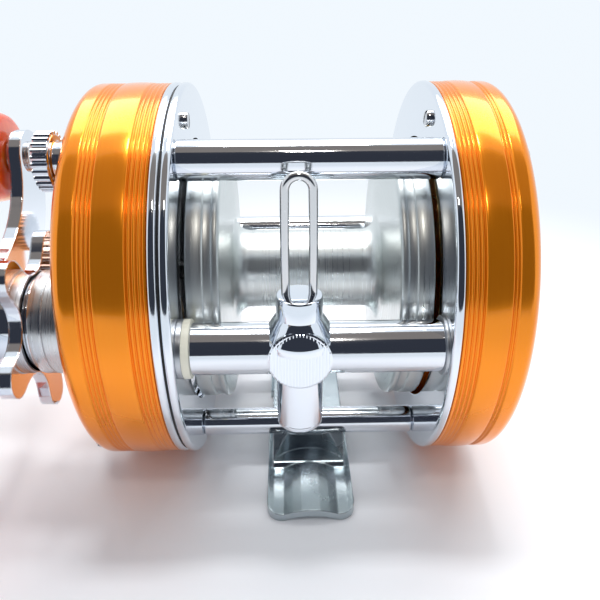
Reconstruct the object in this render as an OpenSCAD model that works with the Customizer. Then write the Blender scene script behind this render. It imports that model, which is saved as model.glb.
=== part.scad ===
// Round multiplier reel with level wind: two side plates, a spool, a gear train,
// a double handle with a star drag, and a foot that is clamped in a rod's seat.
// X runs along the spool, the handle is on -X, the line leaves towards -Y, Z is up.
// The origin is the middle of the foot's underside.

/* [Frame] */
// Outer diameter of the side rings and covers
ring_d = 60; // [59:0.5:64]
// Clear width between the two side rings
inner_w = 35.3; // [34:0.1:38]
// Thickness of each side ring
ring_t = 1.25; // [1.1:0.05:1.5]
// Thickness of the black gasket on the handle side
gasket_t = 0.2; // [0.15:0.05:0.4]
// Height of the spool's axis above the foot's underside
axis_h = 31; // [31:0.1:34]
// Diameter of the top pillar
top_bar_d = 5.5; // [4.8:0.1:6]
// Diameter of the rear pillar
rear_bar_d = 5.2; // [4.8:0.1:5.6]
// Diameter of the two lower pillars
low_bar_d = 4.5; // [4.2:0.1:4.8]
// Distance of the pillars' axes inside the ring's edge
pillar_inset = 3.8; // [3.6:0.1:4]

/* [Covers] */
// Depth of the handle side cover, from its rim to its face
handle_cover_w = 12.4; // [12:0.1:14]
// Depth of the palm side cover
palm_cover_w = 10.1; // [9.6:0.1:12]
// Wall thickness of the covers
cover_wall = 1; // [0.9:0.05:1.05]
// Depth of the turned grooves in the covers
groove_depth = 0.22; // [0.1:0.02:0.35]
// Radius that the covers' outer edge is rounded to
cover_round = 3.4; // [2.6:0.1:4]

/* [Spool] */
// Distance of the spool's flanges inside the side rings' edge
spool_inset = 8.8; // [8.6:0.1:9.6]
// Diameter of the spool's arbor
arbor_d = 13; // [11:0.2:16]
// Width between the spool's flanges at the arbor
line_w = 23.6; // [22:0.1:24]
// Length of the polished rim outside each flange
rim_w = 4.3; // [3.6:0.1:4.6]
// Diameter of the spool shaft
spool_shaft_d = 3.2; // [3:0.1:3.4]

/* [Level wind] */
// Diameter of the tube that the line guide slides on
tube_d = 7; // [6.8:0.1:7]
// Diameter of the guide's round body
barrel_d = 8.5; // [8.3:0.1:9]
// Diameter of the guide's neck
neck_d = 6.1; // [5.8:0.1:6.6]
// Diameter of the guide's lower leg
leg_d = 6.3; // [6:0.1:6.8]
// Diameter of the guide's wire
wire_d = 1.15; // [0.9:0.05:1.3]
// Height of the wire loop above the neck
loop_h = 15.3; // [12:0.1:18]
// Outer diameter of the worm's thread
worm_d = 4.6; // [4.2:0.1:4.6]
// Distance that the guide stands to the handle side of the middle
guide_x = 1.65; // [-4:0.05:4]

/* [Handle] */
// Diameter of the brushed sleeve around the drive shaft
boss_d = 15.4; // [15:0.1:16]
// Length of the brushed sleeve, with its open lip
boss_w = 5.9; // [5.4:0.1:6.4]
// Diameter of the drive shaft
drive_d = 5; // [4.6:0.1:5.4]
// Distance from the star wheel's axis to its finger tips
star_r = 14; // [12.5:0.1:14.6]
// Thickness of the star wheel
star_t = 1.9; // [1.6:0.1:2.2]
// Number of fingers on the star wheel
star_fingers = 5; // [5:1:6]
// Distance from the drive shaft to each knob's axis
crank_r = 30; // [27:0.5:36]
// Thickness of the handle arm
arm_t = 2; // [1.6:0.1:2.4]
// Largest diameter of a knob
knob_d = 15; // [13:0.2:17]
// Length of a knob
knob_w = 19; // [16:0.5:24]
// Knurled diameter of the thumb screws
thumb_d = 8; // [7:0.1:8.4]

/* [Foot] */
// Length of the foot along the rod
foot_len = 53; // [50:0.5:60]
// Width of the foot's tips
foot_w = 13.6; // [12:0.1:15]
// Thickness of the foot's tips
foot_t = 1.3; // [1.1:0.05:1.6]

/* [Gears] */
// Teeth on the main gear
main_teeth = 46; // [44:1:48]
// Teeth on the pinion
pinion_teeth = 11; // [11:1:12]
// Teeth on the level wind's gear on the drive shaft
wind_teeth = 34; // [32:1:36]
// Teeth on the worm's gear
worm_gear_teeth = 12; // [11:1:12]
// Gap between the main gear and the cover's wall
gear_room = 0.3; // [0.25:0.05:0.5]

/* [Fits] */
// Radial clearance of pieces that turn or slide in each other
run_fit = 0.06; // [0.04:0.01:0.09]
// Radial clearance of pieces that are fixed in each other
seat_fit = 0.03; // [0.02:0.01:0.05]
// Gap between separate moving bodies
body_gap = 0.3; // [0.25:0.05:0.4]

/* [Hidden] */
$fn = 48;

// Side plates, measured along X from the middle of the spool
ring_r = ring_d / 2;
face_x = inner_w / 2;
ring_back = face_x + ring_t;
gear_plate_x = ring_back + gasket_t;
gear_plate_back = gear_plate_x + ring_t;
handle_face = gear_plate_back + handle_cover_w;
palm_face = ring_back + palm_cover_w;
cover_in_r = ring_r - cover_wall - groove_depth;
bead = 0.5;

// Pillars, as angles from the front upwards and a radius from the spool's axis
pillar_r = ring_r - pillar_inset;
top_angle = 57;
low_angle = -66;
rear_angle = 185;
tenon_d = 3.4;
tenon_w = ring_t + gasket_t - 0.05;
screw_d = 2.2;
screw_hole_r = screw_d / 2 + 0.15;
post_wall = 0.75;
small_screw_r = 0.8;
bush_wall = 1.2;
drive_bush_wall = 0.8;

// Spool
spool_r = ring_r - spool_inset;
spool_room = 0.4;
open_r = spool_r + spool_room;
shaft_r = spool_shaft_d / 2;
web_t = 1.3;
flange_x = line_w / 2;
rim_end = flange_x + 1.1 + rim_w;
arbor_fillet = 2.6;

// Drive: the gears' module follows the room inside the cover
main_add = 0.85;
gear_module = (cover_in_r - gear_room) / (main_teeth + pinion_teeth / 2 + main_add);
main_pitch_r = gear_module * main_teeth / 2;
pinion_pitch_r = gear_module * pinion_teeth / 2;
drive_angle = -5;
drive_dist = main_pitch_r + pinion_pitch_r;
drive_y = -drive_dist * cos(drive_angle);
drive_z = drive_dist * sin(drive_angle);

// Level wind
wind_r = ring_r - 4.5;
wind_angle = -1;
wind_y = -wind_r * cos(wind_angle);
wind_z = wind_r * sin(wind_angle);
wind_dist = norm([wind_y - drive_y, wind_z - drive_z]);
wind_module = 2 * wind_dist / (wind_teeth + worm_gear_teeth);
tube_left = face_x - 1.75;
tube_right = face_x - 0.45;
tube_bore = worm_d + 2 * body_gap;
journal_d = 2.6;
washer_d = tube_d + 0.5;
wind_add = 0.8;

// Gear positions inside the handle side cover, as distances to the handle side
wind_gear_x = gear_plate_back + 0.6;
wind_gear_w = 1.2;
main_gear_x = wind_gear_x + wind_gear_w + 0.7;
main_gear_w = 2.4;
washer_stack = 3;
washer_t = 0.5;

// Handle side, outside the cover
lip_w = 2;
lip_in = 1.9;
hub_in = 1.3;
sleeve_end = handle_face + boss_w;
hub_r = boss_d / 2 - 0.75;
star_x = sleeve_end + 0.5;
star_hub_w = 4.5;
star_hub_end = star_x + star_t + star_hub_w;
arm_x = star_hub_end + 0.4;
arm_end = arm_x + arm_t;
arm_hub_r = 9.4;
cap_r = 6.4;
cap_end = star_x - 0.6;

function polar(angle, r) = [-r * cos(angle), r * sin(angle)];
function ring_arc(cx, cz, rx, rz, from, to, steps) =
  [for (i = [0 : steps]) let (a = from + (to - from) * i / steps) [cx + rx * cos(a), cz + rz * sin(a)]];

// Raises a child from the spool's axis to its height above the foot
module on_axis() {
  translate([0, 0, axis_h])
    children();
}

// Moves a child to a point of the side plates: angle from the front upwards, and radius
module at_polar(angle, r) {
  translate([0, -r * cos(angle), axis_h + r * sin(angle)])
    children();
}

module at_drive() {
  translate([0, drive_y, axis_h + drive_z])
    children();
}

module at_wind() {
  translate([0, wind_y, axis_h + wind_z])
    children();
}

// Extrudes a flat shape, drawn in Y and Z, along +X from x
module plate(x, t) {
  translate([x, 0, 0])
    rotate([90, 0, 90])
      linear_extrude(t)
        children();
}

// A round bar along +X
module rod(x, t, r) {
  translate([x, 0, 0])
    rotate([0, 90, 0])
      cylinder(h = t, r = r);
}

// Turns a profile of [radius, x] points about the X axis
module lathe(points) {
  rotate([0, 90, 0])
    rotate_extrude($fn = 96)
      polygon(points);
}

// A flat bar along +X from x, with round ends of two sizes; p and q are [Y, Z]
module tapered_bar(x, t, p, rp, q, rq) {
  d = norm(q - p);
  dir = atan2(q[1] - p[1], q[0] - p[0]);
  side = acos((rp - rq) / d);
  translate([0, p[0], p[1]])
    rod(x, t, rp);
  translate([0, q[0], q[1]])
    rod(x, t, rq);
  plate(x, t)
    polygon([
      p + rp * [cos(dir + side), sin(dir + side)],
      q + rq * [cos(dir + side), sin(dir + side)],
      q + rq * [cos(dir - side), sin(dir - side)],
      p + rp * [cos(dir - side), sin(dir - side)]
    ]);
}

// Gears: straight sided teeth through the involute's points at root, pitch and tip
function involute(base, r) = r <= base ? 0 : tan(acos(base / r)) * 180 / PI - acos(base / r);
function gear_points(teeth, m, add, phase) =
  let (
    rp = m * teeth / 2,
    base = rp * cos(20),
    slack = 5 / teeth,
    half = 90 / teeth - slack + involute(base, rp),
    radii = [rp - 1.15 * m, rp - 0.3 * m, rp + 0.3 * m, rp + add * m]
  )
  [for (i = [0 : teeth - 1], s = [-1, 1], k = [0 : 3])
    let (
      r = radii[s < 0 ? k : 3 - k],
      a = phase + 360 * i / teeth + s * (half - involute(base, r))
    )
    [r * cos(a), r * sin(a)]];

// Straight knurling: a ring of points that goes in and out
function knurl_points(count, r, depth) =
  [for (i = [0 : 2 * count - 1])
    let (a = 180 * i / count, rr = r - (i % 2) * depth)
    [rr * cos(a), rr * sin(a)]];

// ---- Frame -------------------------------------------------------------

module ring_blank(x) {
  lathe([
    [open_r, x],
    [ring_r - bead, x],
    for (p = ring_arc(ring_r - bead, x + bead, bead, bead, -75, 0, 3)) p,
    for (p = ring_arc(ring_r - bead, x + ring_t - bead, bead, bead, 0, 75, 3)) p,
    [ring_r - bead, x + ring_t],
    [open_r, x + ring_t]
  ]);
}

module pillar_holes(x, t, r) {
  for (a = [top_angle, rear_angle, low_angle, 180 - low_angle])
    at_polar(a, pillar_r)
      rod(x, t, r);
}

plate_screw_angle = 78;
module ring_with_holes(x) {
  difference() {
    on_axis()
      ring_blank(x);
    pillar_holes(x - 1, ring_t + 2, tenon_d / 2 + seat_fit);
    at_wind()
      rod(x - 1, ring_t + 2, journal_d / 2 + bush_wall + seat_fit);
    at_polar(plate_screw_angle, pillar_r)
      rod(x - 1, ring_t + 2, small_screw_r);
  }
}

module handle_ring() {
  color([0.86, 0.88, 0.9])
    ring_with_holes(-ring_back);
}

module palm_ring() {
  color([0.86, 0.88, 0.9])
    difference() {
      ring_with_holes(face_x);
      at_polar(fourth_screw[0], fourth_screw[1])
        rod(face_x + 0.1, ring_t, small_screw_r + seat_fit);
    }
}

module gasket() {
  color([0.05, 0.05, 0.06])
    difference() {
      on_axis()
        lathe([
          [open_r + 1, -gear_plate_x], [ring_r - 0.35, -gear_plate_x],
          [ring_r - 0.35, -ring_back], [open_r + 1, -ring_back]
        ]);
      pillar_holes(-gear_plate_x - 1, gasket_t + 2, tenon_d / 2 + seat_fit);
      at_wind()
        rod(-gear_plate_x - 1, gasket_t + 2, journal_d / 2 + bush_wall + seat_fit);
      at_polar(plate_screw_angle, pillar_r)
        rod(-gear_plate_x - 1, gasket_t + 2, small_screw_r);
    }
}

plate_hole_r = pinion_pitch_r + gear_module + 0.6;
module gear_plate() {
  x = -gear_plate_back;
  color([0.86, 0.88, 0.9])
    difference() {
      on_axis()
        lathe([
          [plate_hole_r, x],
          [ring_r - bead, x],
          for (p = ring_arc(ring_r - bead, x + bead, bead, bead, -75, 0, 3)) p,
          for (p = ring_arc(ring_r - bead, x + ring_t - bead, bead, bead, 0, 75, 3)) p,
          [ring_r - bead, x + ring_t],
          [plate_hole_r, x + ring_t]
        ]);
      for (a = [top_angle, rear_angle, low_angle])
        at_polar(a, pillar_r)
          rod(x - 1, ring_t + 2, screw_hole_r);
      at_wind()
        rod(x - 1, ring_t + 2, journal_d / 2 + run_fit);
      at_drive()
        rod(x - 1, ring_t + 2, drive_d / 2 + drive_bush_wall + seat_fit);
    }
}

// A cover's turned outline from rim to face, as [radius, distance from the rim]
groove_w = 0.26;
function groove(at) = [
  [ring_r, at - groove_w], [ring_r - groove_depth, at - groove_w / 4],
  [ring_r - groove_depth, at + groove_w / 4], [ring_r, at + groove_w]
];
function cover_outline(depth, grooves) = concat(
  [[ring_r - 0.3, 0], [ring_r, 0.12]],
  [for (g = grooves, p = groove(g)) p],
  ring_arc(ring_r - cover_round, depth - 2.1, cover_round, 2.1, 0, 90, 8)
);
function mirrored(points) = [for (p = points) [p[0], -p[1]]];
function shifted(points, x) = [for (p = points) [p[0], p[1] + x]];

handle_grooves = [0.55, 1.2, 1.85, 2.45, 6.95, 7.55, 8.1, 8.65];
palm_grooves = [0.55, 1.15, 1.75, 2.35, 6.1, 6.6];

cap_tube_r = 4.9;
cap_tube_w = 3.4;
cap_tube_in = 3;
bearing_r = 3.5;
bearing_w = 2.4;
bearing_seat = 2.2;
shaft_hole_r = shaft_r + 1;
corner_in = 2.2;
face_step_r = ring_r - 8.5;
face_step = 0.4;
face_rise = 1;
palm_seat = 3;
palm_seat_wall = 1.3;
palm_post_r = 1.9;

button_angle = 150;
button_w = 6.5;
button_t = 4.2;
button_mid = gear_plate_back + 6.2;
button_travel = 1.6;
button_stand = 2.2;
button_root = 2;
module handle_cover() {
  color([0.95, 0.5, 0.05])
    difference() {
      union() {
        on_axis()
          translate([-gear_plate_back, 0, 0])
            lathe(mirrored(concat(
              [[cover_in_r, 0]],
              cover_outline(handle_cover_w, handle_grooves),
              [[cap_tube_r, handle_cover_w], [cap_tube_r, handle_cover_w + cap_tube_w],
               [bearing_r + seat_fit, handle_cover_w + cap_tube_w],
               [bearing_r + seat_fit, handle_cover_w - bearing_seat],
               [shaft_hole_r, handle_cover_w - bearing_seat],
               [shaft_hole_r, handle_cover_w - cap_tube_in], [cap_tube_r, handle_cover_w - cap_tube_in],
               [cap_tube_r, handle_cover_w - cover_wall],
               [cover_in_r - corner_in, handle_cover_w - cover_wall],
               [cover_in_r, handle_cover_w - cover_wall - corner_in]]
            )));
        for (a = [top_angle, rear_angle, low_angle])
          at_polar(a, pillar_r)
            rod(-handle_face + cover_wall / 2, handle_cover_w - cover_wall / 2, screw_hole_r + post_wall);
      }
      for (a = [top_angle, rear_angle, low_angle])
        at_polar(a, pillar_r) {
          rod(-handle_face - 1, handle_cover_w + 2, screw_hole_r);
          rod(-handle_face - 3, 3 + thumb_seat, neck_seat_r);
        }
      at_drive()
        rod(-handle_face - 2, 6, sleeve_seat_r + seat_fit);
      on_axis()
        rotate([180 - button_angle, 0, 0])
          translate([-button_mid - button_w / 2 - body_gap, cover_in_r - button_root - button_travel, 0])
            translate([0, 0, -button_t / 2 - body_gap])
              cube([button_w + 2 * body_gap, ring_r, button_t + 2 * body_gap]);
    }
}

module palm_cover() {
  color([0.95, 0.5, 0.05])
    difference() {
      union() {
        on_axis()
          translate([ring_back, 0, 0])
            lathe(concat(
              [[cover_in_r, 0]],
              cover_outline(palm_cover_w, palm_grooves),
              [[face_step_r, palm_cover_w], [face_step_r - 0.6, palm_cover_w + face_step],
               [5.2, palm_cover_w + face_rise - 0.1], [0, palm_cover_w + face_rise],
               [0, palm_cover_w - 0.6], [bearing_r + seat_fit, palm_cover_w - 0.6],
               [bearing_r + seat_fit, palm_cover_w - 0.6 - palm_seat],
               [bearing_r + palm_seat_wall, palm_cover_w - 0.6 - palm_seat],
               [bearing_r + palm_seat_wall, palm_cover_w - cover_wall],
               [cover_in_r - corner_in, palm_cover_w - cover_wall],
               [cover_in_r, palm_cover_w - cover_wall - corner_in]]
            ));
        for (p = palm_screws_at)
          at_polar(p[0], p[1])
            rod(ring_back, palm_cover_w - cover_wall / 2, palm_post_r);
      }
      for (p = palm_screws_at)
        at_polar(p[0], p[1]) {
          rod(ring_back - 1, palm_cover_w + 3, small_screw_r + seat_fit);
          rod(palm_face - screw_sink, 4, screw_head_r + 0.15);
        }
    }
}

// ---- Pillars and foot ----------------------------------------------------

module pillar(angle, d, tapped) {
  at_polar(angle, pillar_r)
    difference() {
      union() {
        rod(-face_x, inner_w, d / 2);
        rod(-face_x - tenon_w, inner_w + tenon_w + ring_t, tenon_d / 2);
      }
      if (tapped) {
        rod(-face_x - tenon_w - 1, thumb_grip + tenon_w + 1, screw_d / 2 + seat_fit);
        rod(face_x - 4, 4 + ring_t + 1, small_screw_r + seat_fit);
      }
    }
}

thumb_grip = 4.5;
module top_bar() {
  color([0.8, 0.82, 0.84])
    pillar(top_angle, top_bar_d, true);
}

module rear_bar() {
  color([0.8, 0.82, 0.84])
    pillar(rear_angle, rear_bar_d, true);
}

module lower_bars() {
  color([0.8, 0.82, 0.84])
    difference() {
      union() {
        pillar(low_angle, low_bar_d, true);
        pillar(180 - low_angle, low_bar_d, false);
      }
      for (x = [-1, 1], s = [-1, 1])
        translate([x * rivet_x, s * low_bar_y, 0])
          cylinder(h = rivet_top + seat_fit, r = rivet_r + seat_fit);
    }
}

// Foot: two dished tips and a raised bridge that carries the lower pillars
low_bar_y = pillar_r * cos(low_angle);
low_bar_z = axis_h + pillar_r * sin(low_angle);
foot_dish = 0.8;
land_w = 2.6;
bridge_w = foot_w - 1.6;
bridge_half = low_bar_y + 5.5;
bridge_apex = low_bar_y + 1.3;
arch_r = 7;
edge_lift = 0.35;
corner_r = 2.4;
window_half = 6;
dish_half = foot_w / 2 - land_w;
dish_r = (dish_half * dish_half + foot_dish * foot_dish) / (2 * foot_dish);

module foot_section() {
  difference() {
    polygon([
      [-foot_w / 2, 0.2], [-foot_w / 2 + 0.5, 0], [foot_w / 2 - 0.5, 0], [foot_w / 2, 0.2],
      [foot_w / 2, foot_t + edge_lift], [foot_w / 2 - 1, foot_t],
      [dish_half, foot_t], each ring_arc(0, foot_t + foot_dish - dish_r, dish_r, dish_r,
        90 - asin(dish_half / dish_r), 90 + asin(dish_half / dish_r), 6),
      [-dish_half, foot_t], [-foot_w / 2 + 1, foot_t], [-foot_w / 2, foot_t + edge_lift]
    ]);
    translate([0, foot_dish - dish_r])
      circle(dish_r, $fn = 96);
  }
}

module foot_outline(margin) {
  for (x = [-1, 1], y = [-1, 1])
    translate([x * (foot_w / 2 - corner_r), y * (foot_len / 2 - corner_r)])
      circle(corner_r + margin);
  square([foot_w + 2 * margin, foot_len - 2 * corner_r], center = true);
  square([foot_w - 2 * corner_r, foot_len + 2 * margin], center = true);
}

module foot() {
  color([0.62, 0.66, 0.69])
    difference() {
      union() {
        intersection() {
          translate([0, foot_len / 2, 0])
            rotate([90, 0, 0])
              linear_extrude(foot_len)
                foot_section();
          translate([0, 0, -1])
            linear_extrude(foot_t + 4)
              foot_outline(0);
        }
        translate([bridge_w / 2, 0, 0])
          rotate([90, 0, -90])
            linear_extrude(bridge_w)
              polygon([
                [-bridge_half, foot_t - 0.2], [bridge_half, foot_t - 0.2],
                [bridge_half - 0.4, foot_t + 0.5], [bridge_half - 2.2, foot_t + 2.4],
                [bridge_apex + 0.9, low_bar_z - 1], [bridge_apex, low_bar_z],
                [-bridge_apex, low_bar_z], [-bridge_apex - 0.9, low_bar_z - 1],
                [-bridge_half + 2.2, foot_t + 2.4], [-bridge_half + 0.4, foot_t + 0.5]
              ]);
      }
      for (s = [-1, 1]) {
        translate([0, s * low_bar_y, low_bar_z])
          rod(-inner_w, 2 * inner_w, low_bar_d / 2 + seat_fit);
        translate([0, s * (bridge_apex + arch_r), foot_t + foot_dish])
          cylinder(h = low_bar_z, r = arch_r);
        for (x = [-1, 1])
          translate([x * rivet_x, s * low_bar_y, -1]) {
            cylinder(h = 20, r = rivet_r + seat_fit);
            cylinder(h = rivet_head + 1, r = rivet_r + 0.6 + seat_fit);
          }
      }
      translate([0, 0, foot_dish - dish_r])
        rotate([90, 0, 0])
          cylinder(h = foot_len + 2, r = dish_r, center = true, $fn = 96);
      translate([-bridge_w, -window_half, -1])
        cube([2 * bridge_w, 2 * window_half, low_bar_z - 3.2]);
    }
}

rivet_r = 1;
rivet_x = 3.2;
rivet_head = 1.5;
rivet_top = low_bar_z + 1.2;
module foot_rivets() {
  color([0.75, 0.77, 0.8])
    for (x = [-1, 1], s = [-1, 1])
      translate([x * rivet_x, s * low_bar_y, 0]) {
        translate([0, 0, rivet_head - 0.6])
          cylinder(h = 0.6, r = rivet_r + 0.6);
        translate([0, 0, rivet_head])
          cylinder(h = rivet_top - rivet_head, r = rivet_r);
      }
}

// ---- Screws ----------------------------------------------------------------

screw_head_r = 1.35;
screw_sink = 0.8;
fourth_screw = [26, ring_r - 5.4];
palm_screws_at = [
  [top_angle, pillar_r], [rear_angle, pillar_r], [low_angle, pillar_r], fourth_screw
];
module slotted_head(r, h) {
  difference() {
    intersection() {
      cylinder(h = h, r = r);
      translate([0, 0, h - 2.2 * r])
        sphere(r = 2.2 * r);
    }
    translate([-r - 1, -0.2, h - 0.35])
      cube([2 * r + 2, 0.4, 1]);
  }
}

module plate_screws() {
  color([0.7, 0.72, 0.75])
    for (s = [-1, 1])
      at_polar(plate_screw_angle, pillar_r) {
        translate([s * face_x, 0, 0])
          rotate([0, -90 * s, 0])
            slotted_head(1.2, 0.75);
        translate([s * (face_x + ring_t / 2), 0, 0])
          rod(-ring_t / 2, ring_t, small_screw_r - seat_fit);
      }
}

module cover_screws() {
  color([0.7, 0.72, 0.75])
    for (p = palm_screws_at)
      at_polar(p[0], p[1]) {
        translate([palm_face - screw_sink, 0, 0])
          rotate([0, 90, 0])
            slotted_head(screw_head_r, 1.3);
        start = face_x + (p == fourth_screw ? 0.2 : -3.5);
        rod(start, palm_face - screw_sink - start, small_screw_r);
      }
}

thumb_neck_r = 2.6;
neck_seat_r = thumb_neck_r + 0.15;
thumb_head = 2.2;
thumb_seat = 0.6;
thumb_x = handle_face + thumb_seat;
thumb_crown = 0.5;
module thumb_screws() {
  color([0.78, 0.8, 0.83])
    for (a = [top_angle, rear_angle, low_angle])
      at_polar(a, pillar_r) {
        plate(-thumb_x - thumb_head, thumb_head)
          polygon(knurl_points(26, thumb_d / 2, 0.3));
        lathe([
          [0, -thumb_x - thumb_head - thumb_crown],
          [thumb_d / 2 - 2, -thumb_x - thumb_head - thumb_crown + 0.1],
          [thumb_d / 2 - 0.7, -thumb_x - thumb_head],
          [0, -thumb_x - thumb_head]
        ]);
        rod(-thumb_x, 2 * thumb_seat, thumb_neck_r);
        rod(-thumb_x, thumb_x - face_x + thumb_grip - 0.4, screw_d / 2);
      }
}

// ---- Drive shaft's sleeve and bearings -----------------------------------

sleeve_seat_r = boss_d / 2 - 1.2;
one_way_r = 4.6;
module boss_sleeve() {
  color([0.74, 0.76, 0.79])
    at_drive()
      lathe(mirrored(shifted([
        [one_way_r + seat_fit, -cover_wall], [sleeve_seat_r, -cover_wall], [sleeve_seat_r, 0],
        [boss_d / 2, 0], [boss_d / 2, boss_w - lip_w - 0.15],
        [boss_d / 2 - 0.25, boss_w - lip_w], [boss_d / 2 - 0.1, boss_w - lip_w + 0.15],
        [boss_d / 2 - 0.1, boss_w - 0.1], [boss_d / 2 - 0.25, boss_w],
        [hub_r + body_gap, boss_w], [hub_r + body_gap, boss_w - lip_in],
        [one_way_r + seat_fit, boss_w - lip_in]
      ], handle_face)));
}

clutch_sleeve_r = drive_d / 2 + 0.75;
module one_way_bearing() {
  color([0.55, 0.57, 0.6])
    at_drive() {
      lathe(mirrored(shifted([
        [clutch_sleeve_r + run_fit + 0.75, -cover_wall + 0.1], [one_way_r, -cover_wall + 0.1],
        [one_way_r, boss_w - lip_in - 0.1], [clutch_sleeve_r + run_fit + 0.75, boss_w - lip_in - 0.1]
      ], handle_face)));
      for (i = [0 : 7])
        rotate([i * 45, 0, 0])
          translate([0, clutch_sleeve_r + run_fit + 0.35, 0])
            rod(-sleeve_end + lip_in + 0.5, boss_w - lip_in, 0.35);
    }
}

module drive_bush() {
  color([0.75, 0.6, 0.3])
    at_drive()
      lathe(mirrored([
        [drive_d / 2 + run_fit, gear_plate_x + 0.05], [drive_d / 2 + drive_bush_wall, gear_plate_x + 0.05],
        [drive_d / 2 + drive_bush_wall, gear_plate_back], [drive_d / 2 + 1.3, gear_plate_back],
        [drive_d / 2 + 1.3, gear_plate_back + 0.3], [drive_d / 2 + run_fit, gear_plate_back + 0.3]
      ]));
}

// Shielded ball bearing drawn as one body with its two shields' steps
module bearing(x) {
  step = 0.25;
  lathe([
    [shaft_r + run_fit, x], [shaft_r + 0.7, x], [shaft_r + 0.8, x + step], [bearing_r - 0.7, x + step],
    [bearing_r - 0.6, x], [bearing_r, x], [bearing_r, x + bearing_w],
    [bearing_r - 0.6, x + bearing_w], [bearing_r - 0.7, x + bearing_w - step],
    [shaft_r + 0.8, x + bearing_w - step], [shaft_r + 0.7, x + bearing_w], [shaft_r + run_fit, x + bearing_w]
  ]);
}

handle_bearing_x = handle_face - 2.1;
palm_bearing_x = palm_face - 3.2;
module spool_bearings() {
  color([0.6, 0.62, 0.65])
    on_axis() {
      bearing(-handle_bearing_x - bearing_w);
      bearing(palm_bearing_x);
    }
}

// Plain ring inside the palm cover that the brake blocks rub on
brake_r = 15;
brake_flange_r = brake_r + 6;
module brake_ring() {
  color([0.8, 0.65, 0.35])
    on_axis()
      lathe([
        [brake_r, brake_hub_x + 0.4], [brake_r + 0.8, brake_hub_x + 0.4],
        [brake_r + 0.8, palm_face - cover_wall - 0.6], [brake_flange_r, palm_face - cover_wall - 0.6],
        [brake_flange_r, palm_face - cover_wall], [brake_r, palm_face - cover_wall]
      ]);
}

// ---- Free spool ------------------------------------------------------------

pinion_x = main_gear_x - 0.2;
pinion_w = main_gear_w + 0.9;
pinion_groove_x = pinion_x + pinion_w + 0.4;
pinion_groove_w = 1.2;
pinion_end = pinion_groove_x + pinion_groove_w + 0.7;
pinion_hub_r = 2.7;
yoke_post_y = 10;
yoke_post_r = 0.8;
yoke_end_r = 2.2;
yoke_mid_r = 3.9;
yoke_foot_r = 2;
yoke_spring_r = 1.6;
yoke_spring_w = 2.1;
module clutch_yoke() {
  x = -pinion_groove_x - pinion_groove_w + body_gap;
  t = pinion_groove_w - 2 * body_gap;
  neck = pinion_hub_r - 0.7 + body_gap;
  color([0.65, 0.67, 0.7])
    on_axis()
      difference() {
        for (s = [-1, 1])
          tapered_bar(x, t, [0, s * yoke_post_y], yoke_end_r, [0, 0], yoke_mid_r);
        rod(x - 1, t + 2, neck);
        translate([x - 1, -yoke_post_y, -neck])
          cube([t + 2, yoke_post_y, 2 * neck]);
        for (s = [-1, 1])
          translate([0, 0, s * yoke_post_y])
            rod(x - 1, t + 2, yoke_post_r + run_fit);
      }
}

yoke_spring_end = handle_face - cover_wall - 0.1;
module yoke_springs() {
  color([0.7, 0.72, 0.75])
    on_axis()
      for (s = [-1, 1])
        translate([0, 0, s * yoke_post_y])
          lathe(mirrored([
            [0, gear_plate_back], [yoke_foot_r, gear_plate_back], [yoke_foot_r, gear_plate_back + 0.5],
            [yoke_post_r, gear_plate_back + 0.5], [yoke_post_r, yoke_spring_end - yoke_spring_w - 0.4],
            [yoke_spring_r, yoke_spring_end - yoke_spring_w], [yoke_spring_r, yoke_spring_end],
            [0, yoke_spring_end]
          ]));
}

module thumb_button() {
  color([0.8, 0.82, 0.85])
    on_axis()
      rotate([180 - button_angle, 0, 0])
        difference() {
          translate([-button_mid - button_w / 2, cover_in_r - button_root, -button_t / 2])
            cube([button_w, ring_r - cover_in_r + button_root + button_stand, button_t]);
          for (i = [-2 : 2])
            translate([-button_mid - button_w, ring_r + button_stand - 0.25, i * 0.8 - 0.15])
              cube([2 * button_w, 1, 0.3]);
        }
}

module tension_cap() {
  color([0.78, 0.8, 0.83])
    on_axis()
      difference() {
        union() {
          plate(-cap_end, cap_end - handle_face - 0.8)
            polygon(knurl_points(30, cap_r, 0.28));
          rod(-handle_face - 1.2, 0.9, cap_r - 0.8);
        }
        rod(-cap_end + 1.2, 20, cap_tube_r + run_fit);
      }
}

module tension_shims() {
  color([0.8, 0.65, 0.35])
    on_axis()
      rod(-cap_end + 1.2, 0.5, bearing_r - 0.3);
}

// ---- Level wind ------------------------------------------------------------

slot_w = 2.8;
guide_travel = line_w / 2 - 1.1;
module wind_tube() {
  color([0.8, 0.82, 0.85])
    at_wind()
      difference() {
        rod(-tube_left, tube_left + tube_right, tube_d / 2);
        rod(-tube_left - 1, 2 * inner_w, tube_bore / 2);
        translate([-guide_travel - slot_w / 2, -slot_w / 2, -tube_d])
          cube([2 * guide_travel + slot_w, slot_w, tube_d]);
      }
}

module wind_washers() {
  color([0.6, 0.63, 0.66])
    at_wind() {
      lathe(mirrored([
        [journal_d / 2 + bush_wall + seat_fit, tube_left + 1], [washer_d / 2, tube_left + 1],
        [washer_d / 2, face_x], [journal_d / 2 + bush_wall + seat_fit, face_x]
      ]));
      lathe([
        [journal_d / 2 + bush_wall + seat_fit, tube_right], [washer_d / 2, tube_right],
        [washer_d / 2, face_x], [journal_d / 2 + bush_wall + seat_fit, face_x]
      ]);
    }
}

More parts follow.
